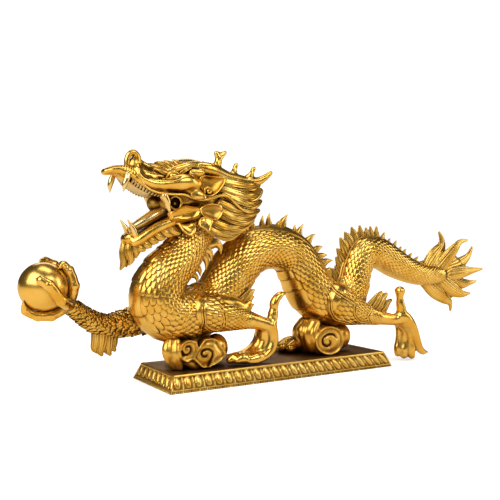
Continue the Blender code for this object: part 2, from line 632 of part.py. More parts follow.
def build_plinth():
    """A low plinth with sloping sides, a foot band, a border of petals and a rim."""
    levels = (
        (0.0, 0.0, 0.0), (FOOT_BAND, 0.0, 0.0), (FOOT_BAND + 0.35, BAND_STEP, 0.0),
        (FOOT_BAND + 1.6, BAND_STEP, 0.6), (PLINTH_HEIGHT * 0.55, BAND_STEP, 1.0),
        (PLINTH_HEIGHT - RIM_BAND - 1.2, BAND_STEP, 0.75), (PLINTH_HEIGHT - RIM_BAND - 0.3, BAND_STEP, 0.0),
        (PLINTH_HEIGHT - RIM_BAND, 0.0, 0.0), (PLINTH_HEIGHT, 0.0, 0.0),
    )
    rings = []
    plan = plinth_side(PLINTH_LENGTH, PLINTH_WIDTH)
    for z, step_in, petal_share in levels:
        inset = PLINTH_TAPER * z / PLINTH_HEIGHT + step_in
        sx = (PLINTH_LENGTH - 2 * inset) / PLINTH_LENGTH
        sy = (PLINTH_WIDTH - 2 * inset) / PLINTH_WIDTH
        ring = []
        for x, y, on_petal, way_out, at_corner in plan:
            rise = PETAL_RISE * petal_share if on_petal and not at_corner else 0.0
            ring.append((x * sx + way_out[0] * rise, y * sy + way_out[1] * rise, z))
        rings.append(ring)
    forms = Forms()
    forms.tube(rings)
    obj = placed("plinth", forms, in_place)
    obj.data.shade_flat()
    obj.data.materials.append(material("plinth_brass", (0.66, 0.42, 0.13), 0.36))
    return obj


def main():
    for obj in list(bpy.data.objects):
        bpy.data.objects.remove(obj, do_unlink=True)
    build_plinth()
    build_pearl()
    build_dragon()


main()
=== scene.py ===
"""Looks of the cast brass dragon: carved surfaces, patina and painted shade, floor, lights and camera.

Points are millimetres. The figure's are drawn from the middle of the plinth's top, as in the CAD source,
and are turned into the row frame's metres when a mesh is made.
"""
import math

import bpy
import numpy as np
from mathutils import Matrix, Vector
from mathutils.bvhtree import BVHTree


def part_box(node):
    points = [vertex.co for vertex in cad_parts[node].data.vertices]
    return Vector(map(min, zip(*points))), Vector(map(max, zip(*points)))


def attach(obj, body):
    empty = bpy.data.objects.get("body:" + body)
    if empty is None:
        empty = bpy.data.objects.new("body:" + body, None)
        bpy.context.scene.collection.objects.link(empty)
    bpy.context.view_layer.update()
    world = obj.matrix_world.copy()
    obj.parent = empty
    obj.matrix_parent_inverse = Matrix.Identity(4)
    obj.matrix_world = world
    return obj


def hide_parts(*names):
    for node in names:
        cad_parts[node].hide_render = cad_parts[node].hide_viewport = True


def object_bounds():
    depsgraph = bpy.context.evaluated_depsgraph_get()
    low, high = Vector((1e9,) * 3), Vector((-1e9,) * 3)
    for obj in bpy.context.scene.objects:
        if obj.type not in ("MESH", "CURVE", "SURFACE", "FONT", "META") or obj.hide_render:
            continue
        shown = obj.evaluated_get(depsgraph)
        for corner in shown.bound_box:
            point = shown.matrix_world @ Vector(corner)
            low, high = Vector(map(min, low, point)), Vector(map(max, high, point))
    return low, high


MM = 0.001
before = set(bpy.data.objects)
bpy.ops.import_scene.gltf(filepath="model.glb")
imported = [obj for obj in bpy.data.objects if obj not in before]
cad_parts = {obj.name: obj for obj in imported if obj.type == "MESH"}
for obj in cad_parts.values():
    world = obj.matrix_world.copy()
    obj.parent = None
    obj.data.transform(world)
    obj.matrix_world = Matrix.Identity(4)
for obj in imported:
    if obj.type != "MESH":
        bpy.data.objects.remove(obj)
CAD_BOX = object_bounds()
INNER_LOW = np.array(CAD_BOX[0])
INNER_HIGH = np.array(CAD_BOX[1])

# Gap under the figure, taper and petal pitch, as in the CAD source
FIT_GAP = 0.3
PLINTH_TAPER = 4.35
PETAL_PITCH = 7.6
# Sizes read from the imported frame
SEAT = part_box("plinth")[1].z / MM + FIT_GAP
PLINTH_LENGTH = (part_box("plinth")[1].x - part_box("plinth")[0].x) / MM
PLINTH_WIDTH = (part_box("plinth")[1].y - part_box("plinth")[0].y) / MM
PLINTH_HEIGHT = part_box("plinth")[1].z / MM
PEARL_RADIUS = (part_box("pearl")[1].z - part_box("pearl")[0].z) / MM / 2
PEARL_CENTRE = tuple((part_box("pearl")[0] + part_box("pearl")[1]) / MM / 2)

# Camera: the photograph's view
VIEW_AZIMUTH = math.radians(-31.389)
VIEW_ELEVATION = math.radians(1.426)
VIEW_AIM = np.array((-15.0, 0.0, 86.9))
VIEW_DISTANCE = 495.2
VIEW_LENS = 51.1056

# Light: the pale sky, what the metal sees of it and of the floor, and softboxes as place, two sizes and glow
SKY = 1.15
SKY_IN_METAL = 0.07
FLOOR_IN_METAL = 0.50
SOFTBOXES = (
    ("key", (-1.05, -0.35, 0.85), 1.20, 1.00, 3.6),
    ("front", (0.25, -1.10, 0.90), 0.80, 0.60, 3.5),
    ("side", (1.10, -0.65, 0.50), 0.40, 0.90, 2.6),
    ("top", (0.05, 0.05, 1.40), 1.00, 0.50, 2.6),
    ("back", (0.30, 1.10, 0.75), 0.90, 0.40, 1.8),
)

# Cells of the melted skins, in millimetres, and times that each is softened
HEAD_CELL, HEAD_SOFTEN = 0.80, 2
HORN_CELL, HORN_SOFTEN = 0.68, 4
HAND_CELL, HAND_SOFTEN = 0.74, 3
LEG_CELL, LEG_SOFTEN = 0.80, 3
CLOUD_CELL, CLOUD_SOFTEN = 0.82, 2
# Plinth's foot band and rim, and the depth of its border under the slope
FOOT_BAND = 2.0
RIM_BAND = 1.5
BORDER_SUNK = 1.0

ACROSS = np.array((0.0, 1.0, 0.0))
UPWARD = np.array((0.0, 0.0, 1.0))
RNG = np.random.default_rng(7)

# Spine of the body from the skull to the tail's tip: x, y, z, radius
BODY = (
    (-50, -1, 101, 13.5), (-61.5, -2, 86, 12.9), (-69.8, -3, 73, 13.9), (-82.2, -3, 60, 15.9),
    (-86.4, -2, 48, 17.9), (-82, -1, 37.5, 18.2), (-69, 0, 34.5, 18), (-55, 0, 35.5, 17.2),
    (-42, 1, 42.5, 16.4), (-32.4, 2.5, 53.8, 16.8), (-23.8, 3.5, 65.3, 16.4), (-11.6, 4, 74, 15.4),
    (6, 5, 77.6, 15.2), (21.5, 4, 72.4, 15.4), (31, 3, 58.4, 16.8), (39, 2, 44.6, 17.8),
    (52, 0, 35, 16.6), (67, 0, 35.5, 15.4), (75.5, 0, 46, 13.3), (80.5, 1, 60, 12.4),
    (89, 2, 72, 12.4), (104, 2, 71.5, 11.9), (120, 1, 63.6, 11.2), (136, 0, 56.7, 9.5),
    (152, 0, 53.1, 8.3), (165, 0, 52.8, 7.3), (174.5, 0, 53.4, 5.4),
)
# Share of the body's length, then how far the back's smooth band and the scales reach, in degrees from
# the back
COAT = ((0, 12, 150), (0.12, 12, 152), (0.22, 12, 146), (0.3, 12, 134), (0.40, 14, 140), (0.455, 46, 144),
        (0.5, 50, 142), (0.56, 48, 128), (0.62, 40, 124), (0.70, 12, 128), (0.78, 9, 142), (1, 9, 158))

# Spines on the back: root x, z and tip x, z, half width at the root, y
SPINES = (
    (-18.5, 84, -20.5, 93, 3.4, 3), (-14, 86, -14.5, 92.5, 3, 3.5), (-10, 90, -10.5, 97.5, 3, 3.5),
    (-1.5, 91, -1.8, 99.9, 2.8, 4), (4.2, 92, 3.9, 101.8, 3, 4), (11.5, 92, 13.1, 96.8, 2.8, 4),
    (14.8, 91.5, 19.3, 100.9, 3.8, 4), (27, 86, 26.1, 93.5, 3.2, 4), (29.5, 85, 33.4, 94, 3.4, 4),
    (36.5, 79.5, 43.8, 86.6, 3.6, 3.5), (42.5, 73, 50.1, 77.4, 3.5, 3), (45.5, 68, 54.5, 71.1, 3.4, 3),
    (48, 62.5, 59.4, 67.1, 3.9, 2.5), (50.5, 56.5, 58, 60.5, 3.2, 2),
)
# Hooked claws down the back of the neck: x, z, half width along each, with y
NECK_CLAWS = (
    ((-48.5, 80.5, 4.2), (-43, 80.8, 3.3), (-39.6, 77.6, 2), (-39.2, 73.4, 0.5), -2),
    ((-52, 77, 3.8), (-48, 74.4, 2.4), (-46.6, 69, 0.5), -2.5),
    ((-55.5, 74.4, 4), (-51.2, 71, 3), (-50.2, 67.4, 1.9), (-50.8, 63.4, 0.5), -2),
    ((-60, 67, 3.4), (-56, 63, 2), (-55.4, 59.4, 0.5), -2.5),
    ((-62, 61, 3), (-58, 58.5, 1.8), (-57.2, 54.5, 0.5), -2),
)
# Broad grooved blades of the crest on the tail, root to tip: x, z, half width, with y
CREST = (
    ((52, 48, 5), (55.5, 56, 4.6), (57, 61, 1.6), 2), ((60, 46, 5.4), (60.5, 54, 4.8), (59, 60.5, 1.4), 2),
    ((69, 50, 5.4), (65, 58, 4.4), (61.8, 62.5, 1), 2), ((70.5, 57, 5.2), (66.2, 65, 4.2), (62.8, 69, 1),
                                                         2),
    ((72, 64, 5.2), (67.2, 71.5, 4.2), (63.6, 75.4, 1), 2), ((74.5, 70, 5.2), (69.5, 78.5, 4.2),
                                                             (66.2, 83.5, 1.2), 2),
    ((78.5, 75, 5), (74, 83.5, 4.2), (71, 88, 1), 2), ((82.5, 77, 4.8), (80, 86.5, 3.8), (77.9, 91.7, 1),
                                                       2),
    ((88, 78, 4.8), (86.5, 87, 3.6), (85.4, 93, 1), 2), ((93.5, 78, 4.6), (92.5, 86.5, 3.4),
                                                         (91.5, 91.2, 0.9), 2),
    ((98, 77.5, 4.4), (96.8, 86.5, 3.2), (96, 92.3, 0.9), 2), ((103, 76.5, 4.4), (102.6, 85.5, 3.2),
                                                               (102.8, 92.2, 0.9), 2),
    ((108, 74.5, 4.2), (108.6, 82, 3), (111, 87.4, 0.8), 2), ((113.5, 72, 4), (114.5, 78.5, 2.8),
                                                              (116.4, 82.6, 0.8), 2),
    ((118.5, 70, 3.8), (119.5, 76, 2.6), (122.4, 80.8, 0.8), 1.5), ((124, 67.5, 3.6), (125, 72.5, 2.4),
                                                                    (127.4, 76, 0.8), 1.5),
    ((129, 65, 3.4), (129.8, 70.5, 2.3), (132.4, 74.2, 0.7), 1), ((135, 62.5, 3.2), (136, 67.5, 2.1),
                                                                  (138.8, 70.6, 0.7), 1),
    ((141, 60.5, 3), (142.4, 65, 1.9), (145.6, 67.8, 0.7), 0.5), ((147, 59, 2.6), (148.6, 62.5, 1.7),
                                                                  (151.8, 64.6, 0.6), 0.5),
)

# Tail flames, root to tip: x, y, z, half height, half thickness
FLAMES = (
    ((154.5, 0, 56.5, 6.6, 4), (164.5, 1, 67, 7.5, 3.4), (175, 3, 76, 4.8, 2.4),
     (175.5, 3, 82.5, 2.6, 1.6), (172.5, 3, 88, 1.1, 0.9)),
    ((166, 0, 55, 7.5, 4), (176.5, -2, 66.5, 6.4, 3.4), (184, -4, 75, 4.2, 2.4),
     (190, -4, 80, 2.3, 1.5), (198, -4, 81.5, 1, 0.9)),
    ((175.5, 0, 54, 7.5, 4), (195.5, 2, 61, 5.6, 3), (207.5, 3, 67.5, 3, 1.8), (212.5, 3, 75, 1, 0.9)),
    ((180, 0, 53, 6.7, 4), (196, -2, 54.5, 5.2, 3), (207, -3, 55.5, 2.7, 1.7), (218, -3, 56.5, 1, 0.9)),
    ((176.5, 0, 50.5, 6.7, 4), (197, 2, 44.5, 5.2, 3), (209, 3, 44.5, 2.7, 1.7), (217.5, 3, 45.5, 1, 0.9)),
    ((171, 0, 49, 6.7, 4), (183, -2, 40.5, 6.4, 3.2), (194, -3, 36, 3.3, 1.9), (203, -3, 36, 1, 0.9)),
    ((152.5, 0, 48, 4.9, 4), (164, 0, 40, 6.6, 3.4), (176.5, 1, 33.5, 5.5, 2.8),
     (185, 2, 28, 2.7, 1.7), (185.5, 2, 22, 1.1, 0.9)),
)
# Webbed fan between the flames: its centre x, z and the x, z of its edge from the top round to the
# underside
FAN_CENTRE = (158, 53)
FAN_EDGE = ((160, 64), (168, 72), (177.5, 73.5), (184, 72), (190.5, 67.5), (197, 63), (201.5, 58.5),
            (199, 53.5),
            (196, 49), (197, 43.5), (193, 38.5), (188, 34.5), (182, 31.8), (172, 33), (162, 39.5))

# Raised far foreleg with its elbow tuft and the hand that holds the pearl
RAISED_ARM = (
    (-70, 9, 34, 10), (-84.5, 17, 31, 10.2), (-99.5, 20, 28.2, 8.8), (-112, 20, 27.2, 7.4),
    (-122.5, 19.5, 31, 6.6), (-130.5, 18.5, 36.8, 5.7), (-137, 17.5, 41.5, 5.2), (-140, 17, 44, 5.4),
)
ELBOW_TUFT = (
    ((-118, 20, 27, 4.6, 4), (-119.2, 19.6, 18, 4, 3.4), (-120.2, 19.6, 12.8, 3, 2.4),
     (-119.4, 19.6, 11, 1.4, 1.4)),
    ((-115, 19, 26, 4.8, 4.6), (-116, 18.6, 16, 4.2, 3.8), (-117.2, 18.6, 11.2, 3, 2.6),
     (-116.4, 18.6, 9, 1.4, 1.4)),
    ((-111, 19.4, 26, 4.8, 4.6), (-111.6, 19, 16, 4.2, 3.8), (-111.6, 19, 10.8, 3, 2.6),
     (-110.6, 19, 8.8, 1.4, 1.4)),
    ((-108.4, 20, 26, 4.6, 4), (-108.6, 20, 17, 4, 3.4), (-108, 20, 12.6, 2.8, 2.4),
     (-107, 20, 11, 1.4, 1.4)),
)
HAND_CENTRE = np.array((-154, 17, 54.5))
PALM = np.array((0.8, 0, -0.6))
# Fingers as directions from the pearl's centre, palm to claw
FINGERS = (
    ((0.79, -0.1, -0.6), (0.36, -0.84, -0.41), (-0.08, -0.99, 0.12), (-0.3, -0.91, 0.28),
     (-0.5, -0.78, 0.39)),
    ((0.79, 0, -0.6), (0.23, -0.1, -0.96), (-0.2, -0.06, -0.98), (-0.6, 0, -0.8), (-0.82, -0.25, -0.5)),
    ((0.79, 0, -0.6), (0.95, -0.25, 0.01), (0.82, -0.23, 0.54), (0.65, -0.2, 0.74), (0.42, -0.55, 0.72)),
    ((0.79, 0.1, -0.6), (0.75, 0.6, 0.25), (0.5, 0.5, 0.7), (0.2, 0.45, 0.87), (-0.1, 0.1, 0.98)),
)
FINGER_RADII = (3.9, 3.5, 3.2, 2.8, 0.6)

# Near foreleg: leg, the ridge above it, upright thumb, and four toes that spring from the wrist
NEAR_FORELEG = (
    ((-57, -8, 36, 13.5), (-46, -12.5, 33.8, 11.4), (-36, -15.5, 31.6, 8.6), (-27, -18, 29.6, 6.2),
     (-19, -19.4, 27.2, 4.9), (-13.5, -20, 25.4, 4.7)),
    ((-48, -12.5, 40, 8), (-38, -14.5, 39.5, 6.4), (-30.5, -15.5, 38.5, 4.6), (-26, -15.5, 41, 2.6)),
    ((-11.2, -20, 25.6, 4.6), (-9.5, -20, 29, 3.7), (-8.9, -20, 33.1, 3.6), (-8.4, -20, 36, 3),
     (-8, -20, 39.4, 3.3),
     (-6.2, -20, 43, 3), (-2.8, -20, 45.5, 2.5), (1.2, -20, 46.5, 0.9)),
    ((-11.5, -20.4, 25, 4.7), (-9.9, -20.8, 20.5, 4), (-9.3, -21, 15.5, 3.7), (-11.3, -21, 9.4, 3.7),
     (-17.4, -21.4, 5, 3.5), (-23.5, -21.8, 4, 4), (-28.2, -22, 3.4, 3.1)),
    ((-14, -19, 24.6, 4.2), (-14.7, -18.5, 20.5, 3.8), (-15.4, -18.5, 14.1, 3.5), (-18.9, -18.5, 8.6, 3.4),
     (-26, -18.8, 5.2, 3.3), (-32.4, -19, 4.4, 4), (-36, -19, 3.4, 2.7)),
    ((-15, -17, 24.4, 3.9), (-15.6, -15.5, 20.5, 3.6), (-17.2, -15.5, 14.6, 3.3), (-22, -15.5, 9, 3.2),
     (-30, -15.5, 5.4, 3.1), (-36.6, -15.5, 4.6, 3.9), (-40.2, -15.5, 3.4, 2.5)),
    ((-15.6, -15, 24, 3.4), (-15.6, -13, 19.6, 3.3), (-17.2, -12.6, 14, 3.2), (-22.5, -12.4, 8.6, 3.1),
     (-31, -12.2, 5, 3.1), (-36, -12.2, 4.2, 3.2)),
)
FORELEG_TUFT = (
    ((-33.5, -13.5, 36, 5.6, 4), (-27, -14, 43, 4.4, 3), (-23, -14, 47.6, 2.6, 1.8),
     (-20.4, -14, 49, 0.9, 0.8)),
    ((-35, -15, 35, 5, 3.6), (-28.5, -15.6, 39.5, 3.8, 2.6), (-24, -15.4, 43.6, 2, 1.5),
     (-21.4, -15, 44.6, 0.8, 0.7)),
    ((-34, -16, 32.5, 4.4, 3), (-28.5, -16.8, 35.4, 3.2, 2.2), (-24.6, -16.8, 38.8, 1.7, 1.3),
     (-22.4, -16.4, 39.6, 0.7, 0.6)),
)

# Near hind leg: leg, upright thumb and four hanging toes
NEAR_HINDLEG = (
    ((53, -8, 37.5, 15), (62, -12.5, 31.6, 12.2), (72, -15.8, 28.2, 8.8), (82.5, -17.4, 25.4, 6.6),
     (92, -18, 23.2, 5.2), (101, -18.8, 21.8, 4.4), (107.5, -19.8, 22.4, 4.5)),
    ((107.9, -20.6, 23, 5), (107.7, -21, 28.2, 4), (106.5, -21, 34, 3.4), (106.1, -21, 38, 2.8),
     (106, -21, 41, 3.4), (106.1, -21, 43, 4.2)),
    ((108, -20.6, 24, 5.2), (110.8, -21.4, 22.8, 4.9), (114.6, -22, 19, 4.5), (118, -22, 14.4, 4.1),
     (121, -22, 8.6, 3.7), (123.4, -22, 2.8, 3.4), (126, -22, -2.1, 3.1), (129.4, -22, -4.8, 2.5),
     (133.8, -22, -5.6, 1.1)),
    ((109.6, -20, 21, 4), (113.8, -20, 16.6, 3.5), (116.9, -20, 11.5, 3), (118.2, -20, 5.2, 2.5),
     (119, -20, -2.4, 3.2), (119.6, -20, -7.2, 2.8)),
    ((108.6, -17, 20.5, 3.8), (112.6, -17, 16, 3.2), (114.6, -17, 10, 2.7), (114.9, -17, 4, 2.4),
     (114.6, -17, -2.6, 3.2), (114.4, -17, -7, 2.8)),
    ((107.4, -14.5, 20, 3.6), (111.2, -14, 16.4, 3), (111.6, -14, 10, 2.5), (110.9, -14, 4, 2.3),
     (110.4, -14, -2, 3), (110.8, -14, -5.6, 2.7)),
)
HINDLEG_TUFTS = (
    ((78, -15, 27, 4.8, 4.2), (83.5, -16.5, 34, 4.6, 3.2), (88.3, -17, 39.8, 3.2, 2.2),
     (91.2, -17, 42.4, 1.8, 1.3)),
    ((82, -16, 26, 4.8, 4), (88.5, -17, 33.2, 4.2, 3), (93, -17, 38.8, 3, 2), (96, -17, 41.2, 1.6, 1.2)),
    ((86, -17, 25, 4.2, 3.6), (92.5, -17.5, 30.2, 3.6, 2.7), (97.2, -17.5, 34.8, 2.4, 1.7),
     (100.4, -17.5, 36.6, 1.2, 1)),
)

# Far hind leg, which reaches forward onto the plinth
FAR_HINDLEG = (
    ((58, 7, 34, 13), (54, 14, 19, 9), (47, 15, 9, 6.2), (38, 13, 4.6, 5.2)),
    ((40, 16, 5, 4.6), (29, 17, 5.4, 4.6), (22, 17, 3.4, 3.6)),
    ((40, 12, 5, 4.6), (27, 11, 5.6, 4.6), (19, 10.5, 3.4, 3.6)),
    ((40, 8, 5, 4.6), (29, 5, 5.4, 4.4), (22, 4, 3.4, 3.4)),
)

# Clouds: x, y, z and three half sizes of rounded masses, then the folds
CLOUD_MASSES = (
    (-60, 0, 9, 17, 13, 14), (-70, -6, 11, 7.6, 8, 8.6), (-56, -7, 9.4, 11, 8, 9.5),
    (-43.5, -3, 10.5, 7.6, 9, 9.5), (-58, 12, 10, 13, 7, 10),
    (42, 0, 9, 16, 13, 13), (42, -8, 10.2, 11, 7, 10), (60.5, -4, 10.5, 9.5, 8, 9.8),
    (44, 12, 9, 10, 7, 10), (52, 12, 10, 12, 7, 10.5),
)
CLOUD_FOLDS = (
    ((-80, -7, 20, 2.8), (-82.6, -9, 12, 3.5), (-79.6, -9, 4.4, 2.8), (-76.6, -9.5, 0, 2.4)),
    ((-76.8, -11, 18.2, 2.6), (-77.6, -12.4, 10, 3.2), (-75.4, -12, 1, 2.4)),
    ((-72, -13, 6, 2.6), (-67, -13.4, 2.6, 2.8), (-63, -13, 0, 2.6)),
    ((27.6, -7, 23, 2.8), (23.2, -8, 17.2, 3.4), (25.4, -8.4, 10.4, 3), (29.4, -8, 4.4, 2.6)),
    ((30.6, -10, 23.4, 2.8), (25.6, -11, 16.6, 3.2), (26.8, -11.4, 9.4, 2.9), (30.6, -11, 4, 2.6)),
    ((34, -12, 22.6, 2.8), (29.4, -13.6, 16, 3), (30.6, -14, 8.4, 2.8), (34.6, -13.4, 2.6, 2.6)),
    ((-69, 8, 20, 4.6), (-71.5, 9, 10, 4.4), (-67, 8, 1, 3.4)),
    ((35.4, 6, 21, 4.6), (31.2, 7, 14.6, 4.6), (34, 8, 5, 3.6)),
)
# Scroll faces: outline x, z, then y, how far the face stands out, and the x, z of the hook cut in it
SCROLLS = (
    (((-59.8, 18.9), (-55.4, 19.4), (-50.6, 18), (-47.6, 13.8), (-43.8, 7.8), (-49.4, 3.4), (-57.6, 0.2),
      (-61.6, 0.6),
      (-65, 3.8), (-68.2, 7.6), (-64, 13.4)), -16.2, 2.2,
     ((-56.9, 1.4), (-53.4, 6.4), (-52.8, 10), (-56.2, 12.4), (-59.6, 12.1), (-61.3, 9.8), (-59.6, 7.6),
      (-57.2, 8.2),
      (-57, 9.8))),
    (((-76.4, 16.4), (-73.8, 18.6), (-69.4, 19), (-65.3, 17.4), (-65.1, 12), (-68.7, 6.8), (-73.4, 5.6),
      (-76.6, 9)),
     -16.4, 1.6, ((-76, 13.6), (-73.9, 9.9), (-70.6, 10.1), (-68.4, 13.3), (-70.1, 15.6), (-72.4, 14.7),
                  (-71.9, 12.8))),
    (((29.2, 12), (34.7, 18.8), (42.9, 20.2), (51, 17.2), (54.4, 11), (52.4, 4.4), (47, 0.4), (37.5, 0.4),
      (30.5, 5.4)),
     -16.4, 2.2, ((49, 11.6), (46, 14.4), (41, 14.8), (36.3, 11.7), (37, 7.4), (41, 6), (43.4, 8.6),
                  (41.6, 10.6))),
    (((41, 19), (50, 20.4), (58, 17), (60.6, 9.6), (57, 2.4), (50, 0.2), (43, 2), (39.6, 9.6)), 15.4, 2.2,
     ((43, 3), (45, 12), (51, 14.6), (55, 10), (51, 6.4), (48, 9.6))),
    (((-67, 18), (-58, 19.4), (-50, 16), (-47.4, 9), (-51, 2), (-58, 0.4), (-66, 2), (-69, 9)), 15.4, 2.2,
     ((-64, 3), (-62, 12), (-56, 14.6), (-52, 10), (-56, 6.4), (-59, 9.6))),
)
# Raised double lines that curl over the shoulder and the haunch, laid on the skin
RIBBONS = (
    ((-74.2, 51.6), (-70.9, 45.1), (-70.2, 38.1), (-74, 32.5), (-75.3, 26.9), (-70.8, 23.4), (-63.6, 24.8),
     (-60.3, 29.7), (-60.7, 35.5), (-60.8, 40.7)),
    ((-60, 28.4), (-55.6, 24.2), (-48.2, 24.3), (-44.7, 29), (-45.9, 36.6), (-49.7, 41.4)),
    ((35.7, 48.9), (41.1, 41.9), (42, 32.4), (46.6, 25.5), (54.9, 23.3), (61.5, 20.6)),
    ((38.3, 56), (46.5, 46.3), (54.9, 41.2), (63.3, 36), (63.4, 28.6), (69.6, 23), (76.8, 23.6)),
    ((67.1, 49.2), (63.3, 43.7), (65.8, 38.9), (73.3, 35.5), (79.7, 31.4), (75.8, 25.6), (80.7, 19.5)),
)

# Head. Rows with five numbers give half width across and half height
HEAD_FORMS = (
    ((-28, 0, 103, 10, 11), (-42, 0, 109, 15, 14), (-58, 0, 115, 14.5, 16), (-72, 0, 118, 12.5, 13),
     (-82, 0, 120, 10.8, 9.5), (-91, 0, 122.5, 10, 6.6), (-100, 0, 125, 9.2, 4.6),
     (-109, 0, 127, 8.2, 3), (-116, 0, 126.8, 6.4, 2.6), (-120, 0, 125.6, 4.4, 2.3)),
    ((-50, 0, 106, 13, 8), (-64, 0, 101, 11.5, 6.5), (-78, 0, 95.6, 9.4, 3.8), (-90, 0, 90, 8, 2.8),
     (-100, 0, 84.8, 7.4, 3), (-105.5, 0, 83.6, 6.2, 4.2)),
    ((-60, 0, 106, 12, 12), (-70, 0, 107, 11, 10), (-79, 0, 107, 9, 7)),
    ((-90, 0, 117, 8.5, 5), (-100, 0, 120, 8.2, 4), (-109, 0, 123.5, 7, 2.6), (-113, 0, 124.5, 5, 1.6)),
    ((-101, 0, 129, 4.6, 5), (-100.5, 0, 133, 3.8, 3.8), (-100.3, 0, 135.6, 2.4, 2)),
    ((-100, 0, 133.4, 3.4, 3), (-95.5, 0, 130.6, 3.8, 3), (-88, 0, 127.5, 5, 3)),
    ((-84, 0, 127, 8, 3), (-74, 0, 131, 10, 4), (-64, 0, 132.6, 10.5, 4.2), (-50, 0, 129, 10.5, 5)),
)
# Paired rounded forms of the head, near side: x, y, z, radius
HEAD_PAIRED = (
    ((-100.4, -6.6, 131, 1.1), (-101.8, -8.2, 128.2, 1.9), (-101.2, -9.6, 124.4, 2.3),
     (-98.2, -10.8, 121, 2.6),
     (-94.4, -11.4, 119, 3), (-90, -12, 118.2, 3.3), (-85.5, -12.5, 118.3, 3.8), (-80.7, -12.8, 118.9, 4.6),
     (-74.8, -13.2, 119.6, 5.7), (-69.3, -13.2, 119.8, 5.8), (-63.3, -12.6, 119, 4.4)),
    ((-70.5, -13.4, 115.5, 3), (-64.5, -14.4, 113.2, 3.6), (-60, -14.6, 111.6, 2.6)),
    ((-84, -9, 126.5, 1.6), (-78, -11, 128, 2.2), (-70, -11, 130.6, 2.6), (-62, -10, 131.6, 2.8)),
    ((-66.5, -12, 127, 3), (-60.5, -12.6, 126.6, 3.6)),
    ((-61.5, -13, 101.8, 3.6), (-68, -12.9, 101.6, 3.6), (-74.5, -11.8, 100.6, 3.2),
     (-80.5, -10, 99.6, 2.2)),
    ((-62.5, -12.6, 99, 2.6), (-70.3, -12.2, 97.6, 2.8), (-78, -11.4, 95.6, 3.1), (-84.7, -10.4, 93, 3.3),
     (-91.3, -9.2, 89.7, 3.3), (-96.4, -8.4, 86.3, 3.2), (-100.6, -7.4, 83.2, 3.2),
     (-103.2, -6, 81.9, 3.2)),
    ((-107.9, -8.4, 124, 1.4), (-104.3, -9, 122.2, 1.5), (-101.5, -9.8, 119.8, 1.5),
     (-98.1, -10.4, 117.4, 1.5),
     (-93.7, -11, 115, 1.5), (-89.3, -11.6, 113.5, 1.4), (-84.8, -12.2, 112.6, 1.4)),
    ((-120.2, -0.8, 124.6, 1.4), (-116.2, -2.8, 125.6, 1.8), (-113.2, -4.8, 126, 1.7),
     (-109.9, -6.6, 125.8, 1.7),
     (-106.7, -8.1, 124.9, 1.7)),
    ((-104.8, -3.4, 84.6, 3.4), (-106, -1.2, 84, 3.6)),
)
NOSE_CURL = ((-105.6, -0.5, 128.8, 2), (-105.9, -0.5, 133.4, 1.8), (-104.6, -0.6, 136.8, 1.8),
             (-101.9, -0.7, 138.6, 1.9), (-99.4, -0.9, 137, 1.9), (-98.6, -1.4, 133.6, 1.9),
             (-99.8, -2, 130.9, 1.7), (-102, -2.2, 130.4, 1.3), (-103, -2.2, 132.2, 0.8))
WHISKER = ((-101.5, -8.8, 128.9, 0.7), (-102.6, -10.4, 124.5, 0.7), (-100.3, -11.6, 119.8, 0.7),
           (-97.4, -12.6, 115.9, 0.7), (-91.6, -13.8, 113.2, 0.7), (-81.9, -15.4, 112, 0.7),
           (-73.4, -16.2, 111.9, 0.8), (-68.2, -17.6, 109.9, 0.8), (-61.9, -18.8, 108.8, 0.8),
           (-56.6, -20.2, 109.6, 0.8), (-50.7, -21.8, 111.7, 0.8), (-45.3, -23.2, 111.1, 0.8),
           (-41.6, -24.2, 107.6, 0.8), (-36.7, -24.6, 103.5, 0.8), (-31.4, -24.2, 101.4, 0.8),
           (-26.2, -23, 101.7, 0.4))
# Fangs: the far upper one stands a little further forward than the near one's mirror image
UPPER_FANG = ((-108.6, -9.4, 124.6, 1.5), (-109.6, -10, 121.6, 1.9), (-111.2, -10.2, 117.4, 1.6),
              (-112, -10, 113.4, 0.4))
FAR_FANG = ((-111.6, 8, 124.6, 1.5), (-112.8, 8.2, 121.4, 1.9), (-113.8, 8.4, 117.6, 1.6),
            (-114, 8.4, 113.6, 0.4))
CORNER_FANG = ((-86, -12.8, 110.8, 2.8), (-84.2, -13.4, 107.2, 2.3), (-83.6, -13.6, 104, 1.6),
               (-81.2, -13.4, 98.4, 0.4))
LOWER_FANGS = (
    ((-102.4, -5.4, 86.4, 2.3), (-104.4, -6, 91, 1.7), (-107.8, -6.2, 95.8, 0.4)),
    ((-104, -2.6, 87, 1.2), (-105.2, -2.8, 89.6, 0.9), (-106.4, -2.8, 91.4, 0.4)),
)
TOOTH_LINE = ((-105, -8.6, 121.4), (-101.4, -9.2, 118.6), (-98, -9.8, 116), (-93.8, -10.4, 113.6),
              (-88.6, -11, 112))
# Edge of the palate: x, z and half width
PALATE = ((-110.5, 122.6, 6.5), (-106.5, 118.6, 8.4), (-101.8, 115.3, 9), (-97.5, 113.3, 9.4),
          (-93, 111.8, 9.8),
          (-88, 110.4, 10.2), (-84, 109.6, 10.4))
TONGUE = ((-76, 0, 103.6, 5.5, 4.6), (-84, 0, 100.9, 5.6, 4.2), (-94.5, 0, 95.2, 5, 3.6),
          (-101.5, 0, 91.2, 3.2, 2.6))
LIP_BAND = ((-118.4, -1.6, 127.2), (-115.9, -3.2, 128.2), (-112.5, -5.2, 128.6), (-109.1, -6.9, 128.4),
            (-106.5, -8.2, 127.4), (-104.2, -9.2, 125.9))

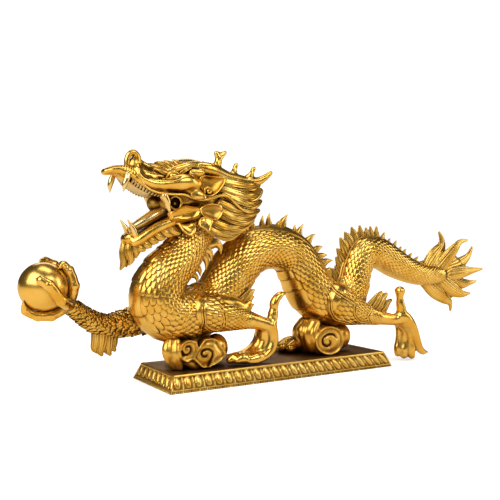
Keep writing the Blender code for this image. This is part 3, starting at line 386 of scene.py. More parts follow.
# Thin shells of the head: outline, the way they face, how far they hollow, thickness, patina inside
SHELLS = (
    (((-60.9, -15.4, 124.4), (-54.7, -18.4, 124.4), (-49.4, -20.4, 123.9), (-46.4, -22.4, 123.6),
      (-48.2, -21.8, 118.7),
      (-51.3, -20.4, 114.2), (-55.3, -18.4, 111.3), (-58.9, -16.4, 112), (-61.2, -15.4, 116.2),
      (-62.4, -15.2, 121)),
     (-0.35, -0.93, 0.05), 3, 1.2, 0.35),
    (((-78.5, -14.6, 94.6), (-73.1, -16.4, 92.9), (-67.1, -17.4, 93.9), (-66.4, -18, 89.6),
      (-69.7, -18.8, 85.6),
      (-73.8, -17.8, 87.6), (-76.8, -16.4, 91)), (-0.3, -0.93, 0.15), -0.7, 1.2, 0),
    (((-63.5, -18.6, 97.1), (-60.7, -20, 98.1), (-56.2, -22, 95.8), (-57.8, -22.8, 92.4),
      (-59.3, -22.8, 88.5),
      (-62.8, -21, 90.7), (-65.4, -19.8, 92.8)), (-0.3, -0.93, 0.2), -0.6, 1.4, 0),
    (((-63.9, -19, 103.2), (-57.5, -21.6, 106.2), (-51, -24.4, 104.6), (-50.8, -24.4, 100),
      (-54.3, -23, 96),
      (-58.9, -21, 97.3), (-62.6, -19.6, 99.3)), (-0.3, -0.93, 0), 2.2, 1.4, 0.55),
    (((-70.3, -18.6, 113), (-65.5, -20.2, 114.5), (-60.6, -21.4, 110.5), (-64.6, -20.6, 108.8),
      (-69.2, -19.2, 109.6)),
     (-0.25, -0.96, 0.1), -0.8, 1.6, 0),
    (((-83.1, -14.6, 99.8), (-78.4, -16.2, 102.9), (-73.3, -17, 105), (-68, -17.4, 104.3),
      (-63.5, -17.8, 103.2),
      (-64.1, -17.8, 99.6), (-66.9, -17.2, 96.8), (-72.9, -16.2, 95.4), (-78.7, -15.4, 95.6),
      (-82.6, -14.4, 96.2)),
     (-0.25, -0.96, 0.05), 0.9, 2.4, 0.1),
)
BROW_HAIRS = (
    ((-80.5, -10.8, 124.8, 1.6, 1.2), (-85.5, -9.6, 127, 2, 1), (-90.4, -7, 128.6, 0.5, 0.5)),
    ((-80, -10.8, 126.6, 1.8, 1.2), (-85.6, -8.6, 129.4, 2.2, 1), (-91.6, -5.4, 130.6, 0.5, 0.5)),
    ((-78.6, -11, 127.6, 1.8, 1.2), (-83.2, -9, 131, 2.2, 1), (-88.4, -6.4, 132.8, 0.5, 0.5)),
    ((-76.8, -11.2, 128, 1.8, 1.2), (-79.8, -9.8, 131.6, 2.1, 1), (-83.4, -7.6, 133.8, 0.5, 0.5)),
    ((-74, -11.2, 128.4, 1.8, 1.2), (-75.6, -10.4, 132, 2, 1), (-77.8, -8.6, 134.4, 0.5, 0.5)),
    ((-74.5, -12.8, 125.8, 1.5, 1), (-71.2, -13.4, 128.2, 1.7, 1), (-67, -12.8, 129.6, 0.6, 0.6)),
)

# Horns: beam, forked tine and plain tines. The far horn leans outward and lower
HORN = (
    ((-64, -8.4, 129.8, 3.6), (-58.5, -9.4, 129.6, 4.6), (-52.6, -10.8, 128.6, 5.2),
     (-46.8, -11.6, 126.6, 4.9),
     (-40.2, -12.6, 124.2, 4.3), (-35.2, -13, 123.5, 4), (-29.3, -13.5, 122.5, 3.7),
     (-23.3, -14, 122.1, 3.4),
     (-17.2, -14.4, 122.8, 3), (-12, -14.8, 125.4, 2.3), (-7.9, -15.2, 128.5, 1.6)),
    ((-49.4, -11, 129.4, 4.2), (-47.2, -11, 132.4, 3), (-46.2, -11, 135.2, 2.4), (-45.8, -11, 137.4, 2.4)),
    ((-46.2, -11, 137.2, 2.1), (-47.6, -11, 140.2, 1.8)),
    ((-45.4, -11, 137.6, 2), (-44.8, -11, 139.8, 1.6)),
    ((-45.2, -11, 137.2, 2.1), (-41.6, -11, 140.8, 1.7)),
    ((-36.2, -12.5, 125, 4), (-35.2, -12.5, 128.4, 2.2), (-34.4, -12.5, 130.6, 1.6),
     (-33.5, -12.5, 132.8, 1.7)),
    ((-24.6, -13.5, 124, 3.6), (-22.6, -13.5, 127, 2.1), (-21.4, -13.5, 129, 1.6),
     (-20.4, -13.5, 131, 1.7)),
)
FAR_HORN_LEAN = math.radians(38)
FAR_HORN_AXIS = (0, 9, 126)

# Locks of the mane on the near side: x, y, z, half width, half thickness
MANE = (
    ((-48, -15, 121, 3.8, 3), (-34.7, -17.4, 118.8, 4.4, 3), (-25.4, -17.2, 118.2, 4.2, 2.8),
     (-19.4, -15, 119.4, 3, 2.2),
     (-15.6, -13, 121.2, 1.6, 1.3)),
    ((-46.5, -16.4, 115.6, 4, 3), (-37.4, -19, 112.6, 4.8, 3.2), (-28.2, -19.2, 111, 4.6, 3.2),
     (-20.4, -17, 112.9, 3.6, 2.6),
     (-15.8, -15, 116.4, 2.2, 1.8)),
    ((-46, -18, 112, 3.2, 2.8), (-36.4, -20.4, 107.8, 4.2, 3.2), (-28.8, -20.4, 105.8, 3.8, 3),
     (-21, -18.4, 107.2, 2.7, 2.2),
     (-16.4, -16.2, 109.2, 1.4, 1.2)),
    ((-48.5, -18, 106.5, 3.6, 2.8), (-39.5, -20.4, 102.7, 4.4, 3.2), (-30.3, -20.2, 100.9, 3.8, 3),
     (-22.6, -18, 101.7, 2.6, 2.1),
     (-17.9, -16, 102.9, 1.4, 1.2)),
    ((-48.5, -18, 101.3, 3.6, 2.8), (-40.7, -19.8, 97.6, 4.2, 3.2), (-32, -19, 95.9, 3.8, 2.9),
     (-25, -17, 97, 2.6, 2),
     (-20, -15, 99.5, 1.3, 1.1)),
    ((-55, -16, 95.4, 3.2, 2.8), (-45.9, -18.4, 91.2, 4, 3.2), (-36.8, -18, 90.3, 3.6, 2.9),
     (-28.3, -16, 92.5, 2.6, 2),
     (-21, -14, 95.8, 1.2, 1)),
    ((-58.5, -15, 92.2, 2.4, 2.4), (-51.3, -17, 87.7, 3, 2.8), (-42.3, -17, 85.8, 3.6, 3),
     (-32, -15, 89.3, 2.2, 1.9),
     (-23.4, -13, 93.1, 1.1, 0.9)),
    ((-50, -11, 123.5, 4, 3.2), (-36, -13, 119.5, 4.4, 3.4), (-24, -12, 117.5, 3.6, 2.8),
     (-15.5, -10, 113.5, 1.6, 1.4)),
    ((-46, -12, 108, 5, 4), (-32, -14, 106.5, 5.6, 4), (-19, -11.5, 106.5, 2, 1.6)),
    ((-46, -11, 98, 4.6, 3.6), (-34, -12.5, 94.5, 4.6, 3.6), (-22, -9.5, 95, 1.6, 1.3)),
    ((-48, -5.5, 122, 5.4, 4), (-32, -6.5, 118, 5.6, 4), (-17, -5, 111, 1.6, 1.4)),
    ((-40, -6, 112, 6, 4.6), (-26, -6, 107, 5.4, 4.2), (-16, -4.5, 101, 1.6, 1.4)),
    ((-40, -5, 101, 6, 4.6), (-30, -5, 94, 4.6, 4), (-22, -4, 88, 1.6, 1.4)),
)
BEARD = (
    ((-104, 3.2, 82, 3, 2.6), (-105.4, 3.4, 76, 3.2, 2.6), (-105, 2.6, 70, 2, 1.8),
     (-105.6, 2, 66.4, 0.6, 0.6)),
    ((-106, 0.8, 82, 3.2, 3), (-107.4, 0.8, 75, 3.4, 3), (-108, 0.2, 69.5, 2.6, 2.2),
     (-110.2, 0, 65, 0.8, 0.8)),
    ((-104.2, -2.6, 81.5, 3.2, 2.8), (-105, -2.8, 75, 3.4, 2.8), (-104.4, -2.6, 70.6, 2.4, 2),
     (-105.4, -2.6, 67.8, 0.7, 0.7)),
    ((-101.8, -4.4, 80.6, 2.6, 2.4), (-101.6, -4.8, 76, 2.8, 2.2), (-101.8, -4.6, 72.8, 1, 1)),
)
# Tufts along the underside of the lower jaw: root, middle and end
FRINGE = (
    ((-102, -5.8, 81.6, 2.6, 1.6), (-99.6, -7.4, 78.2, 2.8, 1.5), (-97.4, -7.6, 77.2, 1.4, 1)),
    ((-98.6, -6.6, 84, 2.7, 1.7), (-95.8, -8.2, 80.4, 2.9, 1.6), (-93.4, -8.4, 79.4, 1.4, 1)),
    ((-94.8, -7.4, 86.4, 2.8, 1.8), (-91.8, -8.8, 83, 3, 1.7), (-89.2, -9, 82.2, 1.4, 1)),
    ((-90.6, -8.2, 88.8, 2.9, 1.8), (-87.4, -9.4, 85.4, 3.1, 1.8), (-84.8, -9.8, 84.6, 1.5, 1.1)),
    ((-86.2, -9, 91, 3, 1.9), (-82.8, -10.2, 87.6, 3.2, 1.9), (-80.2, -10.6, 86.6, 1.6, 1.2)),
    ((-81.6, -9.8, 92.8, 3.1, 2), (-78, -11, 89.2, 3.4, 2), (-75.2, -11.6, 87.8, 1.8, 1.3)),
)


def view_axes():
    """Unit vectors to the right, up and back of the photograph's camera."""
    a, e = VIEW_AZIMUTH, VIEW_ELEVATION
    back = np.array((math.sin(a) * math.cos(e), -math.cos(a) * math.cos(e), math.sin(e)))
    right = np.array((math.cos(a), math.sin(a), 0.0))
    return right, np.cross(back, right), back


RIGHT, UP, BACK = view_axes()


def smooth_path(rows, step):
    """Points along a centripetal Catmull-Rom curve through the rows, about a step apart."""
    rows = np.array(rows, dtype=float)
    ends = np.vstack([2 * rows[0] - rows[1], rows, 2 * rows[-1] - rows[-2]])
    out = []
    for i in range(1, len(ends) - 2):
        p = ends[i - 1:i + 3]
        gaps = np.sqrt(np.maximum(np.linalg.norm(np.diff(p[:, :3], axis=0), axis=1), 1e-6))
        t = np.concatenate([[0.0], np.cumsum(gaps)])
        count = max(1, int(math.ceil(np.linalg.norm(p[2, :3] - p[1, :3]) / step)))
        s = np.linspace(t[1], t[2], count, endpoint=False)[:, None]
        a = [((t[k + 1] - s) * p[k] + (s - t[k]) * p[k + 1]) / (t[k + 1] - t[k]) for k in range(3)]
        b = [((t[k + 2] - s) * a[k] + (s - t[k]) * a[k + 1]) / (t[k + 2] - t[k]) for k in range(2)]
        out.append(((t[2] - s) * b[0] + (s - t[1]) * b[1]) / (t[2] - t[1]))
    out.append(rows[-1:])
    return np.vstack(out)


def unit(vectors):
    """Vectors scaled to length one along their last axis."""
    vectors = np.asarray(vectors, dtype=float)
    return vectors / np.maximum(np.linalg.norm(vectors, axis=-1, keepdims=True), 1e-9)


def directions(path):
    """Unit directions along a path."""
    return unit(np.gradient(path[:, :3], axis=0))


def mirrored(rows):
    """The same rows on the far side."""
    return tuple((row[0], -row[1]) + tuple(row[2:]) for row in rows)


def leaned(rows):
    """Rows turned outward about the far horn's axis."""
    out = []
    c = math.cos(FAR_HORN_LEAN)
    s = math.sin(FAR_HORN_LEAN)
    for row in rows:
        y = row[1] - FAR_HORN_AXIS[1]
        z = row[2] - FAR_HORN_AXIS[2]
        place = (row[0], FAR_HORN_AXIS[1] + y * c + z * s, FAR_HORN_AXIS[2] - y * s + z * c)
        out.append(place + tuple(row[3:]))
    return tuple(out)


class Run:
    """A curve with a radius, its length, and the frame round it at any distance along."""

    def __init__(self, rows):
        path = smooth_path(rows, 0.5)
        self.path = path
        self.marks = np.concatenate([[0.0], np.cumsum(np.linalg.norm(np.diff(path[:, :3], axis=0),
                                                                     axis=1))])
        self.length = self.marks[-1]
        self.along = directions(path)
        normal = unit(np.column_stack([-self.along[:, 2], np.zeros(len(path)), self.along[:, 0]]))
        side = unit(np.cross(self.along, normal))
        self.up = np.cross(side, self.along)

    def look_up(self, values, s):
        """Values known along the curve, read at the distances s."""
        return np.stack([np.interp(s, self.marks, values[:, c]) for c in range(values.shape[1])], axis=-1)

    def radius(self, s):
        return np.interp(s, self.marks, self.path[:, 3])

    def at(self, s, angle, height):
        """Points at a distance along, an angle from the back and a height over the radius."""
        s, angle, height = np.broadcast_arrays(s, angle, height)
        centre = self.look_up(self.path[:, :3], s)
        along = unit(self.look_up(self.along, s))
        up = unit(self.look_up(self.up, s))
        side = np.cross(along, up)
        reach = (self.radius(s) + height)[..., None]
        return centre + reach * (up * np.cos(angle)[..., None] + side * np.sin(angle)[..., None])


class Shell:
    """Grids of points gathered into one mesh, with a patina value at each point."""

    def __init__(self):
        self.points = []
        self.patina_and_shade = []
        self.quads = []
        self.tris = []
        self.count = 0

    def take(self, points, patina_and_shade):
        points = np.asarray(points, dtype=float).reshape(-1, 3)
        start = self.count
        self.points.append(points)
        self.patina_and_shade.append(np.broadcast_to(np.asarray(patina_and_shade, dtype=float).ravel(), (len(points),)))
        self.count += len(points)
        return start

    def grids(self, points, patina_and_shade=0.0, around=False, caps=False):
        """A stack of grids, count x rows x columns x 3. Each may close round its columns and be capped."""
        points = np.asarray(points, dtype=float)
        if points.ndim == 3:
            points = points[None]
        count, rows, columns = points.shape[:3]
        full = (count, rows, columns)
        patina_and_shade = np.broadcast_to(patina_and_shade, full)
        start = self.take(points, patina_and_shade)
        index = start + np.arange(count * rows * columns).reshape(full)
        right = np.roll(index, -1, axis=2) if around else index[:, :, 1:]
        left = index if around else index[:, :, :-1]
        quads = np.stack([left[:, :-1], right[:, :-1], right[:, 1:], left[:, 1:]], axis=-1)
        self.quads.append(quads.reshape(-1, 4))
        if caps:
            for row, flip in ((0, True), (rows - 1, False)):
                hub = self.take(points[:, row].mean(axis=1), patina_and_shade[:, row].mean(axis=1))
                hubs = np.broadcast_to((hub + np.arange(count))[:, None], (count, columns))
                a = index[:, row]
                b = np.roll(a, -1, axis=1)
                order = (hubs, b, a) if flip else (hubs, a, b)
                self.tris.append(np.stack(order, axis=-1).reshape(-1, 3))

    def stroke(self, rows, thin=None, sides=16, step=1.2, grooves=0, depth=0.0, patina_and_shade=0.0, wander=0.0):
        """A tapered stroke with round ends. Rows are x, y, z, half size, and if given a second half size
        along the thin direction. Grooves run along it and wander to and fro."""
        path = smooth_path(rows, step)
        if path.shape[1] == 4:
            path = np.column_stack([path, path[:, 3]])
        d = directions(path)
        if thin is None:
            thin = ACROSS if abs(d[:, 1]).max() < 0.9 else UPWARD
        shares = np.array((0.97, 0.85, 0.6, 0.3))
        head = np.repeat(path[:1], len(shares), axis=0)
        tail = np.repeat(path[-1:], len(shares), axis=0)
        for rows_out, sign, direction, order in ((head, -1, d[0], shares), (tail, 1, d[-1], shares[::-1])):
            reach = min(rows_out[0, 3], rows_out[0, 4])
            rows_out[:, :3] += sign * direction * reach * order[:, None]
            rows_out[:, 3:5] *= np.sqrt(1 - order * order)[:, None]
        path = np.vstack([head, path, tail])
        d = np.vstack([np.repeat(d[:1], len(shares), axis=0), d, np.repeat(d[-1:], len(shares), axis=0)])
        thin = unit(thin)
        t = unit(thin - (d @ thin)[:, None] * d)
        w = np.cross(t, d)
        angle = (2 * math.pi * np.arange(sides) / sides)[None, :]
        share = np.linspace(0, 1, len(path))[:, None]
        wave = np.zeros((len(path), sides))
        if grooves:
            turn = grooves * angle + wander * np.sin(2 * angle + 5 * share)
            wave = (0.5 - 0.5 * np.cos(turn)) * (0.7 + 0.3 * np.sin(3 * angle + 4 * share))
        size = 1 - depth * wave
        c = (np.cos(angle) * size)[..., None]
        s = (np.sin(angle) * size)[..., None]
        points = path[:, None, :3] + w[:, None] * path[:, None, 3:4] * c + t[:, None] * path[:, None,
        4:5] * s
        self.grids(points, patina_and_shade + 0.75 * wave, around=True, caps=True)

    def mass(self, x, y, z, rx, ry, rz, rounds=18, sides=24, patina_and_shade=0.0):
        """An ellipsoid."""
        a = math.pi * (np.arange(rounds) + 0.5) / rounds
        b = 2 * math.pi * np.arange(sides) / sides
        ring = np.sin(a)[:, None]
        points = np.stack([x + rx * ring * np.cos(b), y + ry * ring * np.sin(b),
                           z - rz * np.cos(a)[:, None] * np.ones(sides)], axis=-1)
        self.grids(points, patina_and_shade, around=True, caps=True)

    def bowl(self, outline, face, depth, thick, patina_and_shade=0.0, count=38):
        """A thin shell inside an outline, hollow towards the way it faces,
        or bulging if depth is negative."""
        closed = smooth_path(tuple(outline[-1:]) + tuple(outline) + tuple(outline[:2]), 0.3)
        marks = np.concatenate([[0.0], np.cumsum(np.linalg.norm(np.diff(closed, axis=0), axis=1))])
        first = np.argmin(np.linalg.norm(closed - np.array(outline[0]), axis=1))
        last = len(closed) - 1 - np.argmin(np.linalg.norm(closed[::-1] - np.array(outline[0]), axis=1))
        even = np.linspace(marks[first], marks[last], count, endpoint=False)
        loop = np.stack([np.interp(even, marks, closed[:, c]) for c in range(3)], axis=-1)
        face = unit(face)
        centre = loop.mean(axis=0)
        turn = np.cross(loop - centre, np.roll(loop, -1, axis=0) - centre).sum(axis=0) @ face
        if turn < 0:
            loop = loop[::-1]
        rows = ((0.15, -thick - depth, 0.5), (0.6, -thick - 0.7 * depth, 0.5), (0.94, -0.9 * thick, 0.3),
                (1.0, -0.4 * thick, 0.1),
                (1.02, 0.0, 0.0), (1.0, 0.35 * thick, 0.0), (0.95, 0.45 * thick, 0.0),
                (0.88, 0.2 * thick, 0.1),
                (0.8, -0.25 * depth, 0.35), (0.6, -0.65 * depth, 0.8), (0.35, -0.92 * depth, 1.0),
                (0.08, -depth, 1.0))
        points = [centre + (loop - centre) * size + face * out for size, out, _ in rows]
        tone = np.array([share * patina_and_shade for _, _, share in rows])[:, None]
        self.grids(np.stack(points), np.broadcast_to(tone, (len(rows), count)), around=True, caps=True)

    def arrays(self):
        points = np.vstack(self.points)
        quads = np.vstack(self.quads) if self.quads else np.zeros((0, 4), int)
        tris = np.vstack(self.tris) if self.tris else np.zeros((0, 3), int)
        return points, quads, tris, np.concatenate(self.patina_and_shade)


def raw_mesh(name, points, quads, tris):
    """A Blender mesh from arrays."""
    mesh = bpy.data.meshes.new(name)
    mesh.vertices.add(len(points))
    mesh.vertices.foreach_set("co", np.asarray(points, dtype=np.float32).ravel())
    loops = np.concatenate([quads.ravel(), tris.ravel()]).astype(np.int32)
    totals = np.concatenate([np.full(len(quads), 4), np.full(len(tris), 3)]).astype(np.int32)
    starts = np.concatenate([[0], np.cumsum(totals)[:-1]]).astype(np.int32)
    mesh.loops.add(len(loops))
    mesh.loops.foreach_set("vertex_index", loops)
    mesh.polygons.add(len(totals))
    mesh.polygons.foreach_set("loop_start", starts)
    mesh.polygons.foreach_set("loop_total", totals)
    mesh.update(calc_edges=True)
    mesh.validate()
    return mesh


def piece(name, points, quads, tris, patina_and_shade, material, slot, crease=50, seated=True):
    """A finished piece of the object, in metres, which rides on the one body."""
    place = np.array(points) * MM
    if seated:
        place[:, 2] += SEAT * MM
    place = np.clip(place, INNER_LOW, INNER_HIGH)
    mesh = raw_mesh(name, place, quads, tris)
    # Per-point value that holds the patina in hollows and grooves, and also painted shade at the back of the
    # mouth and in the dark hollow fills.
    attribute = mesh.attributes.new("patina_and_shade", 'FLOAT', 'POINT')
    attribute.data.foreach_set("value", np.clip(patina_and_shade, 0, 1).astype(np.float32))
    mesh.shade_smooth()
    mesh.set_sharp_from_angle(angle=math.radians(crease))
    mesh.materials.append(material)
    obj = bpy.data.objects.new(name, mesh)
    bpy.context.scene.collection.objects.link(obj)
    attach(obj, "root")
    print("piece", name, 2 * len(quads) + len(tris))
    return obj


def fused(shell, voxel, smoothing):
    """The shell's closed forms melted into one skin: points, quads and normals."""
    points, quads, tris, _ = shell.arrays()
    obj = bpy.data.objects.new("melt", raw_mesh("melt", points, quads, tris))
    bpy.context.scene.collection.objects.link(obj)
    melt = obj.modifiers.new("Melt", 'REMESH')
    melt.mode = 'VOXEL'
    melt.voxel_size = voxel
    soften = obj.modifiers.new("Soften", 'SMOOTH')
    soften.factor = 0.5
    soften.iterations = smoothing
    mesh = bpy.data.meshes.new_from_object(obj.evaluated_get(bpy.context.evaluated_depsgraph_get()))
    count = len(mesh.vertices)
    out = np.zeros(count * 3, np.float32)
    mesh.vertices.foreach_get("co", out)
    normals = np.zeros(count * 3, np.float32)
    mesh.vertices.foreach_get("normal", normals)
    loops = np.zeros(len(mesh.loops), np.int32)
    mesh.loops.foreach_get("vertex_index", loops)
    bpy.data.objects.remove(obj)
    bpy.data.meshes.remove(mesh)
    return out.reshape(-1, 3).astype(float), loops.reshape(-1, 4), normals.reshape(-1, 3).astype(float)


def fused_piece(name, points, quads, normals, extra, material, depth=0.28):
    """A melted skin as a piece, dark in its hollows."""
    tone = np.clip(0.9 * cavity(points, quads, normals, 5, depth), 0, 1) + extra
    return piece(name, points, quads, np.zeros((0, 3), int), tone, material, "dragon_brass", crease=80)


def cavity(points, quads, normals, times, depth):
    """How far each point lies in a hollow, from -1 on a ridge to 1."""
    a = quads.ravel()
    b = np.roll(quads, -1, axis=1).ravel()
    count = len(points)
    weight = np.maximum(np.bincount(a, minlength=count) + np.bincount(b, minlength=count), 1)
    smooth = points
    for _ in range(times):
        columns = []
        for c in range(3):
            total = np.bincount(a, smooth[b, c], minlength=count) + np.bincount(b, smooth[a, c],
                                                                                minlength=count)
            columns.append(total / weight)
        smooth = np.stack(columns, axis=-1)
    return np.clip(np.einsum("ij,ij->i", smooth - points, normals) / depth, -1, 1)


def off_line(points, line, axis):
    """Distance of points from a line drawn on the plane that the axis pierces, and the share along it."""
    flat = points - (points @ axis)[:, None] * axis
    drawn = line - (line @ axis)[:, None] * axis
    best = np.full(len(points), 1e9)
    share = np.zeros(len(points))
    for i in range(len(drawn) - 1):
        a, b = drawn[i], drawn[i + 1]
        ab = b - a
        t = np.clip(((flat - a) @ ab) / max(ab @ ab, 1e-9), 0, 1)
        gap = np.linalg.norm(flat - a - t[:, None] * ab, axis=1)
        closer = gap < best
        best[closer] = gap[closer]
        share[closer] = (i + t[closer]) / (len(drawn) - 1)
    return best, share


def carve(points, normals, lines, width, depth, facing=BACK, hold=0.15):
    """Grooves cut, or ridges raised where depth is negative,
    along lines on the side that faces the axis."""
    change = np.zeros(len(points))
    seen = (normals @ facing) > hold
    for line in lines:
        path = smooth_path(line, 1.0)[:, :3]
        low = path.min(axis=0) - 3 * width - 6
        high = path.max(axis=0) + 3 * width + 6
        near = seen & np.all((points > low) & (points < high), axis=1)
        if not near.any():
            continue
        gap, share = off_line(points[near], path, facing)
        fade = np.clip(np.minimum(share, 1 - share) * 8, 0, 1)
        change[near] = np.maximum(change[near], np.exp(-(gap / width) ** 2) * (0.35 + 0.65 * fade))
    return points - normals * (depth * change)[:, None], change


def scale_coat(shell, run, start, end, columns, reach, row_share=0.70, lift=(-0.25, 0.55),
               crown=0.16, jitter=0.06):
    """Overlapping rounded scales in staggered rows along a run, from start to end as shares of its length.
    reach(share) gives the angles from the back between which scales lie, on both sides."""
    places = []
    s = start * run.length
    k = 0
    while s < end * run.length:
        pitch = row_share * 2 * math.pi * run.radius(s) / columns
        low, high = reach(s / run.length)
        for j in range(columns):
            angle = (j + 0.5 * (k % 2)) * 2 * math.pi / columns
            angle = (angle + math.pi) % (2 * math.pi) - math.pi
            if low <= abs(angle) <= high:
                places.append((s, angle, pitch))
        s += pitch
        k += 1
    places = np.array(places)
    count = len(places)
    p = np.array((0.0, 0.50, 0.76, 0.90, 0.97, 1.0, 1.0))
    w = np.array((1.0, 1.05, 0.93, 0.68, 0.42, 0.24, 0.24))
    q = np.array((-1.0, -1.0, -0.80, 0.0, 0.80, 1.0, 1.0))
    p_grid, q_grid = np.meshgrid(p, q, indexing="ij")
    w_grid = np.broadcast_to(w[:, None], p_grid.shape)
    amount = np.clip(places[:, 2] / 2.8, 0.75, 1.15)[:, None, None]
    tilt = 1 + jitter * RNG.standard_normal((count, 1, 1))
    height = (lift[0] + (lift[1] - lift[0]) * p_grid) * tilt + crown * (1 - q_grid ** 2)
    rim = (p_grid >= 0.97) | (abs(q_grid) == 1.0)
    height = height - 0.22 * rim
    skirt = np.zeros(p_grid.shape, bool)
    skirt[:, 0] = skirt[:, -1] = skirt[-1] = True
    height = np.where(skirt, -0.5, height) * amount
    slide = 0.05 * jitter * RNG.standard_normal((count, 1, 1)) * 10
    along = places[:, 0][:, None, None] + (p_grid + slide) * places[:, 2][:, None, None] * 2.1
    turn = places[:, 1][:, None, None] + q_grid * w_grid * math.pi / columns
    points = run.at(np.clip(along, 0, run.length), turn, height)
    tone = np.where(skirt, 1.0, np.where(rim & (p_grid > 0.5), 0.9, np.clip(0.8 - 1.9 * p_grid, 0.0, 1.0)))
    tone = tone + 0.10 * RNG.standard_normal((count, 1, 1))
    shell.grids(points, np.clip(tone, 0, 1))


def coat_reach(share):
    """Angles from the back between which the body's scales lie."""
    rows = np.array(COAT)
    low = np.interp(share, rows[:, 0], rows[:, 1])
    high = np.interp(share, rows[:, 0], rows[:, 2])
    return math.radians(low), math.radians(high)


def everywhere(_):
    """Scales all round."""
    return 0.0, math.pi


def build_body(brass):
    """The long body: dark core, scales, belly plates, smooth band, spines and claws along the back.
    Returns its surface, on which the ribbons are laid."""
    run = Run(BODY)
    core = Shell()
    s = np.linspace(0, run.length, 280)
    angles = np.linspace(0, 2 * math.pi, 40, endpoint=False)
    s_grid, a_grid = np.meshgrid(s, angles, indexing="ij")
    core.grids(run.at(s_grid, a_grid, -0.45), 0.9, around=True, caps=True)

    shares = s / run.length
    limits = np.array([coat_reach(x) for x in shares])
    across = np.linspace(-1, 1, 25)
    low = limits[:, 0][:, None] + math.radians(4)
    edge = np.clip((1 - abs(across)) * 5, 0, 1)
    ripple = 0.08 * np.sin(s * 2 * math.pi / 2.6)[:, None]
    rise = (-0.5 + 1.25 * edge + 0.7 * np.exp(-(across / 0.2) ** 2))[None, :] + ripple
    tone = 0.38 + 0.3 * (1 - edge)[None, :] + 0 * ripple
    core.grids(run.at(s[:, None] + 0 * across[None, :], low * across[None, :], rise), tone)

    spacing = 10.4
    at = 0.0
    while at < 0.72 * run.length:
        share = at / run.length
        pitch = spacing * run.radius(at) / 17.0
        high = coat_reach(share)[1] - math.radians(3)
        ps = np.array((0.0, 0.25, 0.5, 0.75, 0.92, 1.0, 1.0))
        angle = np.linspace(high, 2 * math.pi - high, 22)
        p_grid, a_grid = np.meshgrid(ps, angle, indexing="ij")
        side = np.clip(np.minimum(a_grid - high, 2 * math.pi - high - a_grid) / 0.10, 0, 1)
        height = (-0.1 + 0.95 * p_grid) * side - 0.5 * (1 - side)
        height[-2] -= 0.35
        height[-1] = -0.6
        tone = np.clip(0.8 - 3 * p_grid, 0.04, 1.0) + 0.3 * (1 - side)
        tone[-1] = 1.0
        tone[-2] = 0.9
        distance = np.minimum(at + p_grid * pitch * 1.22, run.length)
        core.grids(run.at(distance, a_grid, height), np.clip(tone, 0, 1))
        at += pitch
    tail = s[shares > 0.70]
    high = coat_reach(0.8)[1]
    angle = np.linspace(high - 0.1, 2 * math.pi - high + 0.1, 24)
    edge = np.clip(np.minimum(angle - angle[0], angle[-1] - angle) / 0.15, 0, 1)
    s_grid, a_grid = np.meshgrid(tail, angle, indexing="ij")
    core.grids(run.at(s_grid, a_grid, (-0.5 + 0.9 * edge)[None, :] + 0 * s_grid), 0.25)
    core.mass(-56.5, 0, 45.5, 9.5, 7, 9.5, patina_and_shade=0.3)
    body = piece("body_core", *core.arrays(), brass, "dragon_brass")
    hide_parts("dragon")

    for name, start, end, columns in (("neck_scales", 0.0, 0.40, 25), ("hump_scales", 0.40, 0.70, 23),
                                      ("tail_scales", 0.70, 0.985, 19)):
        coat = Shell()
        scale_coat(coat, run, start, end, columns, coat_reach)
        piece(name, *coat.arrays(), brass, "dragon_brass", crease=40)

    thorns = Shell()
    for x, z, tip_x, tip_z, half, y in SPINES:
        root = np.array((x, y, z), dtype=float)
        tip = np.array((tip_x, y, tip_z), dtype=float)
        gap = tip - root
        bend = np.array((gap[2], 0, -gap[0])) * 0.10
        rows = ((*(root - gap * 0.25), half * 1.1, 1.9), (*(root + gap * 0.25 - bend), half * 0.95, 1.6),
                (*(root + gap * 0.62 - bend), half * 0.55, 1.2), (*tip, 0.35, 0.45))
        thorns.stroke(rows, ACROSS, 24, 1.1, grooves=6, depth=0.16, patina_and_shade=0.05)
    for *blade, y in NECK_CLAWS:
        rows = [(x, y, z, half, max(0.5, 0.6 * half)) for x, z, half in blade]
        thorns.stroke(rows, ACROSS, 24, 0.6, grooves=5, depth=0.14, patina_and_shade=0.0)
    for root, middle, tip, y in CREST:
        sway = 0.5 * math.sin(root[0])
        rows = ((root[0], y, root[1], root[2], 2.6), (middle[0], y + sway, middle[1], middle[2], 1.9),
                (tip[0], y + sway, tip[1], tip[2], 0.8))
        thorns.stroke(rows, ACROSS, 44, 1.2, grooves=10, depth=0.18, patina_and_shade=0.10, wander=0.5)
    piece("body_spines", *thorns.arrays(), brass, "dragon_brass")
    points, quads, _, _ = core.arrays()
    return BVHTree.FromPolygons(points.tolist(), quads.tolist())


def build_tail(brass):
    """Flat striated flames that fan out from the tail's end, webbed together near their roots."""
    shell = Shell()
    for rows in FLAMES:
        shell.stroke(rows, ACROSS, 80, 2.0, grooves=18, depth=0.10, patina_and_shade=0.05, wander=0.6)
    edge = smooth_path([(x - FAN_CENTRE[0], z - FAN_CENTRE[1], 0.0) for x, z in FAN_EDGE], 0.5)
    reach = np.linspace(0.15, 1.0, 20)[:, None]
    turn = np.arctan2(edge[:, 1], edge[:, 0])[None, :]
    ripple = 0.5 - 0.5 * np.cos(turn * 74 + 1.5 * np.sin(reach * 9))
    thick = 3.6 * np.sqrt(1 - reach) + 0.5 * (1 - reach) + 0.15
    x = FAN_CENTRE[0] + reach * edge[None, :, 0]
    z = FAN_CENTRE[1] + reach * edge[None, :, 1]
    for side in (-1, 1):
        y = side * (thick - 0.35 * ripple * (1 - 0.5 * reach))
        points = np.stack([x, y + 0 * x, z], axis=-1)
        shell.grids(points[:, ::-1] if side < 0 else points, (0.1 + 0.7 * ripple)[:, ::side])
    piece("tail_flames", *shell.arrays(), brass, "dragon_brass")


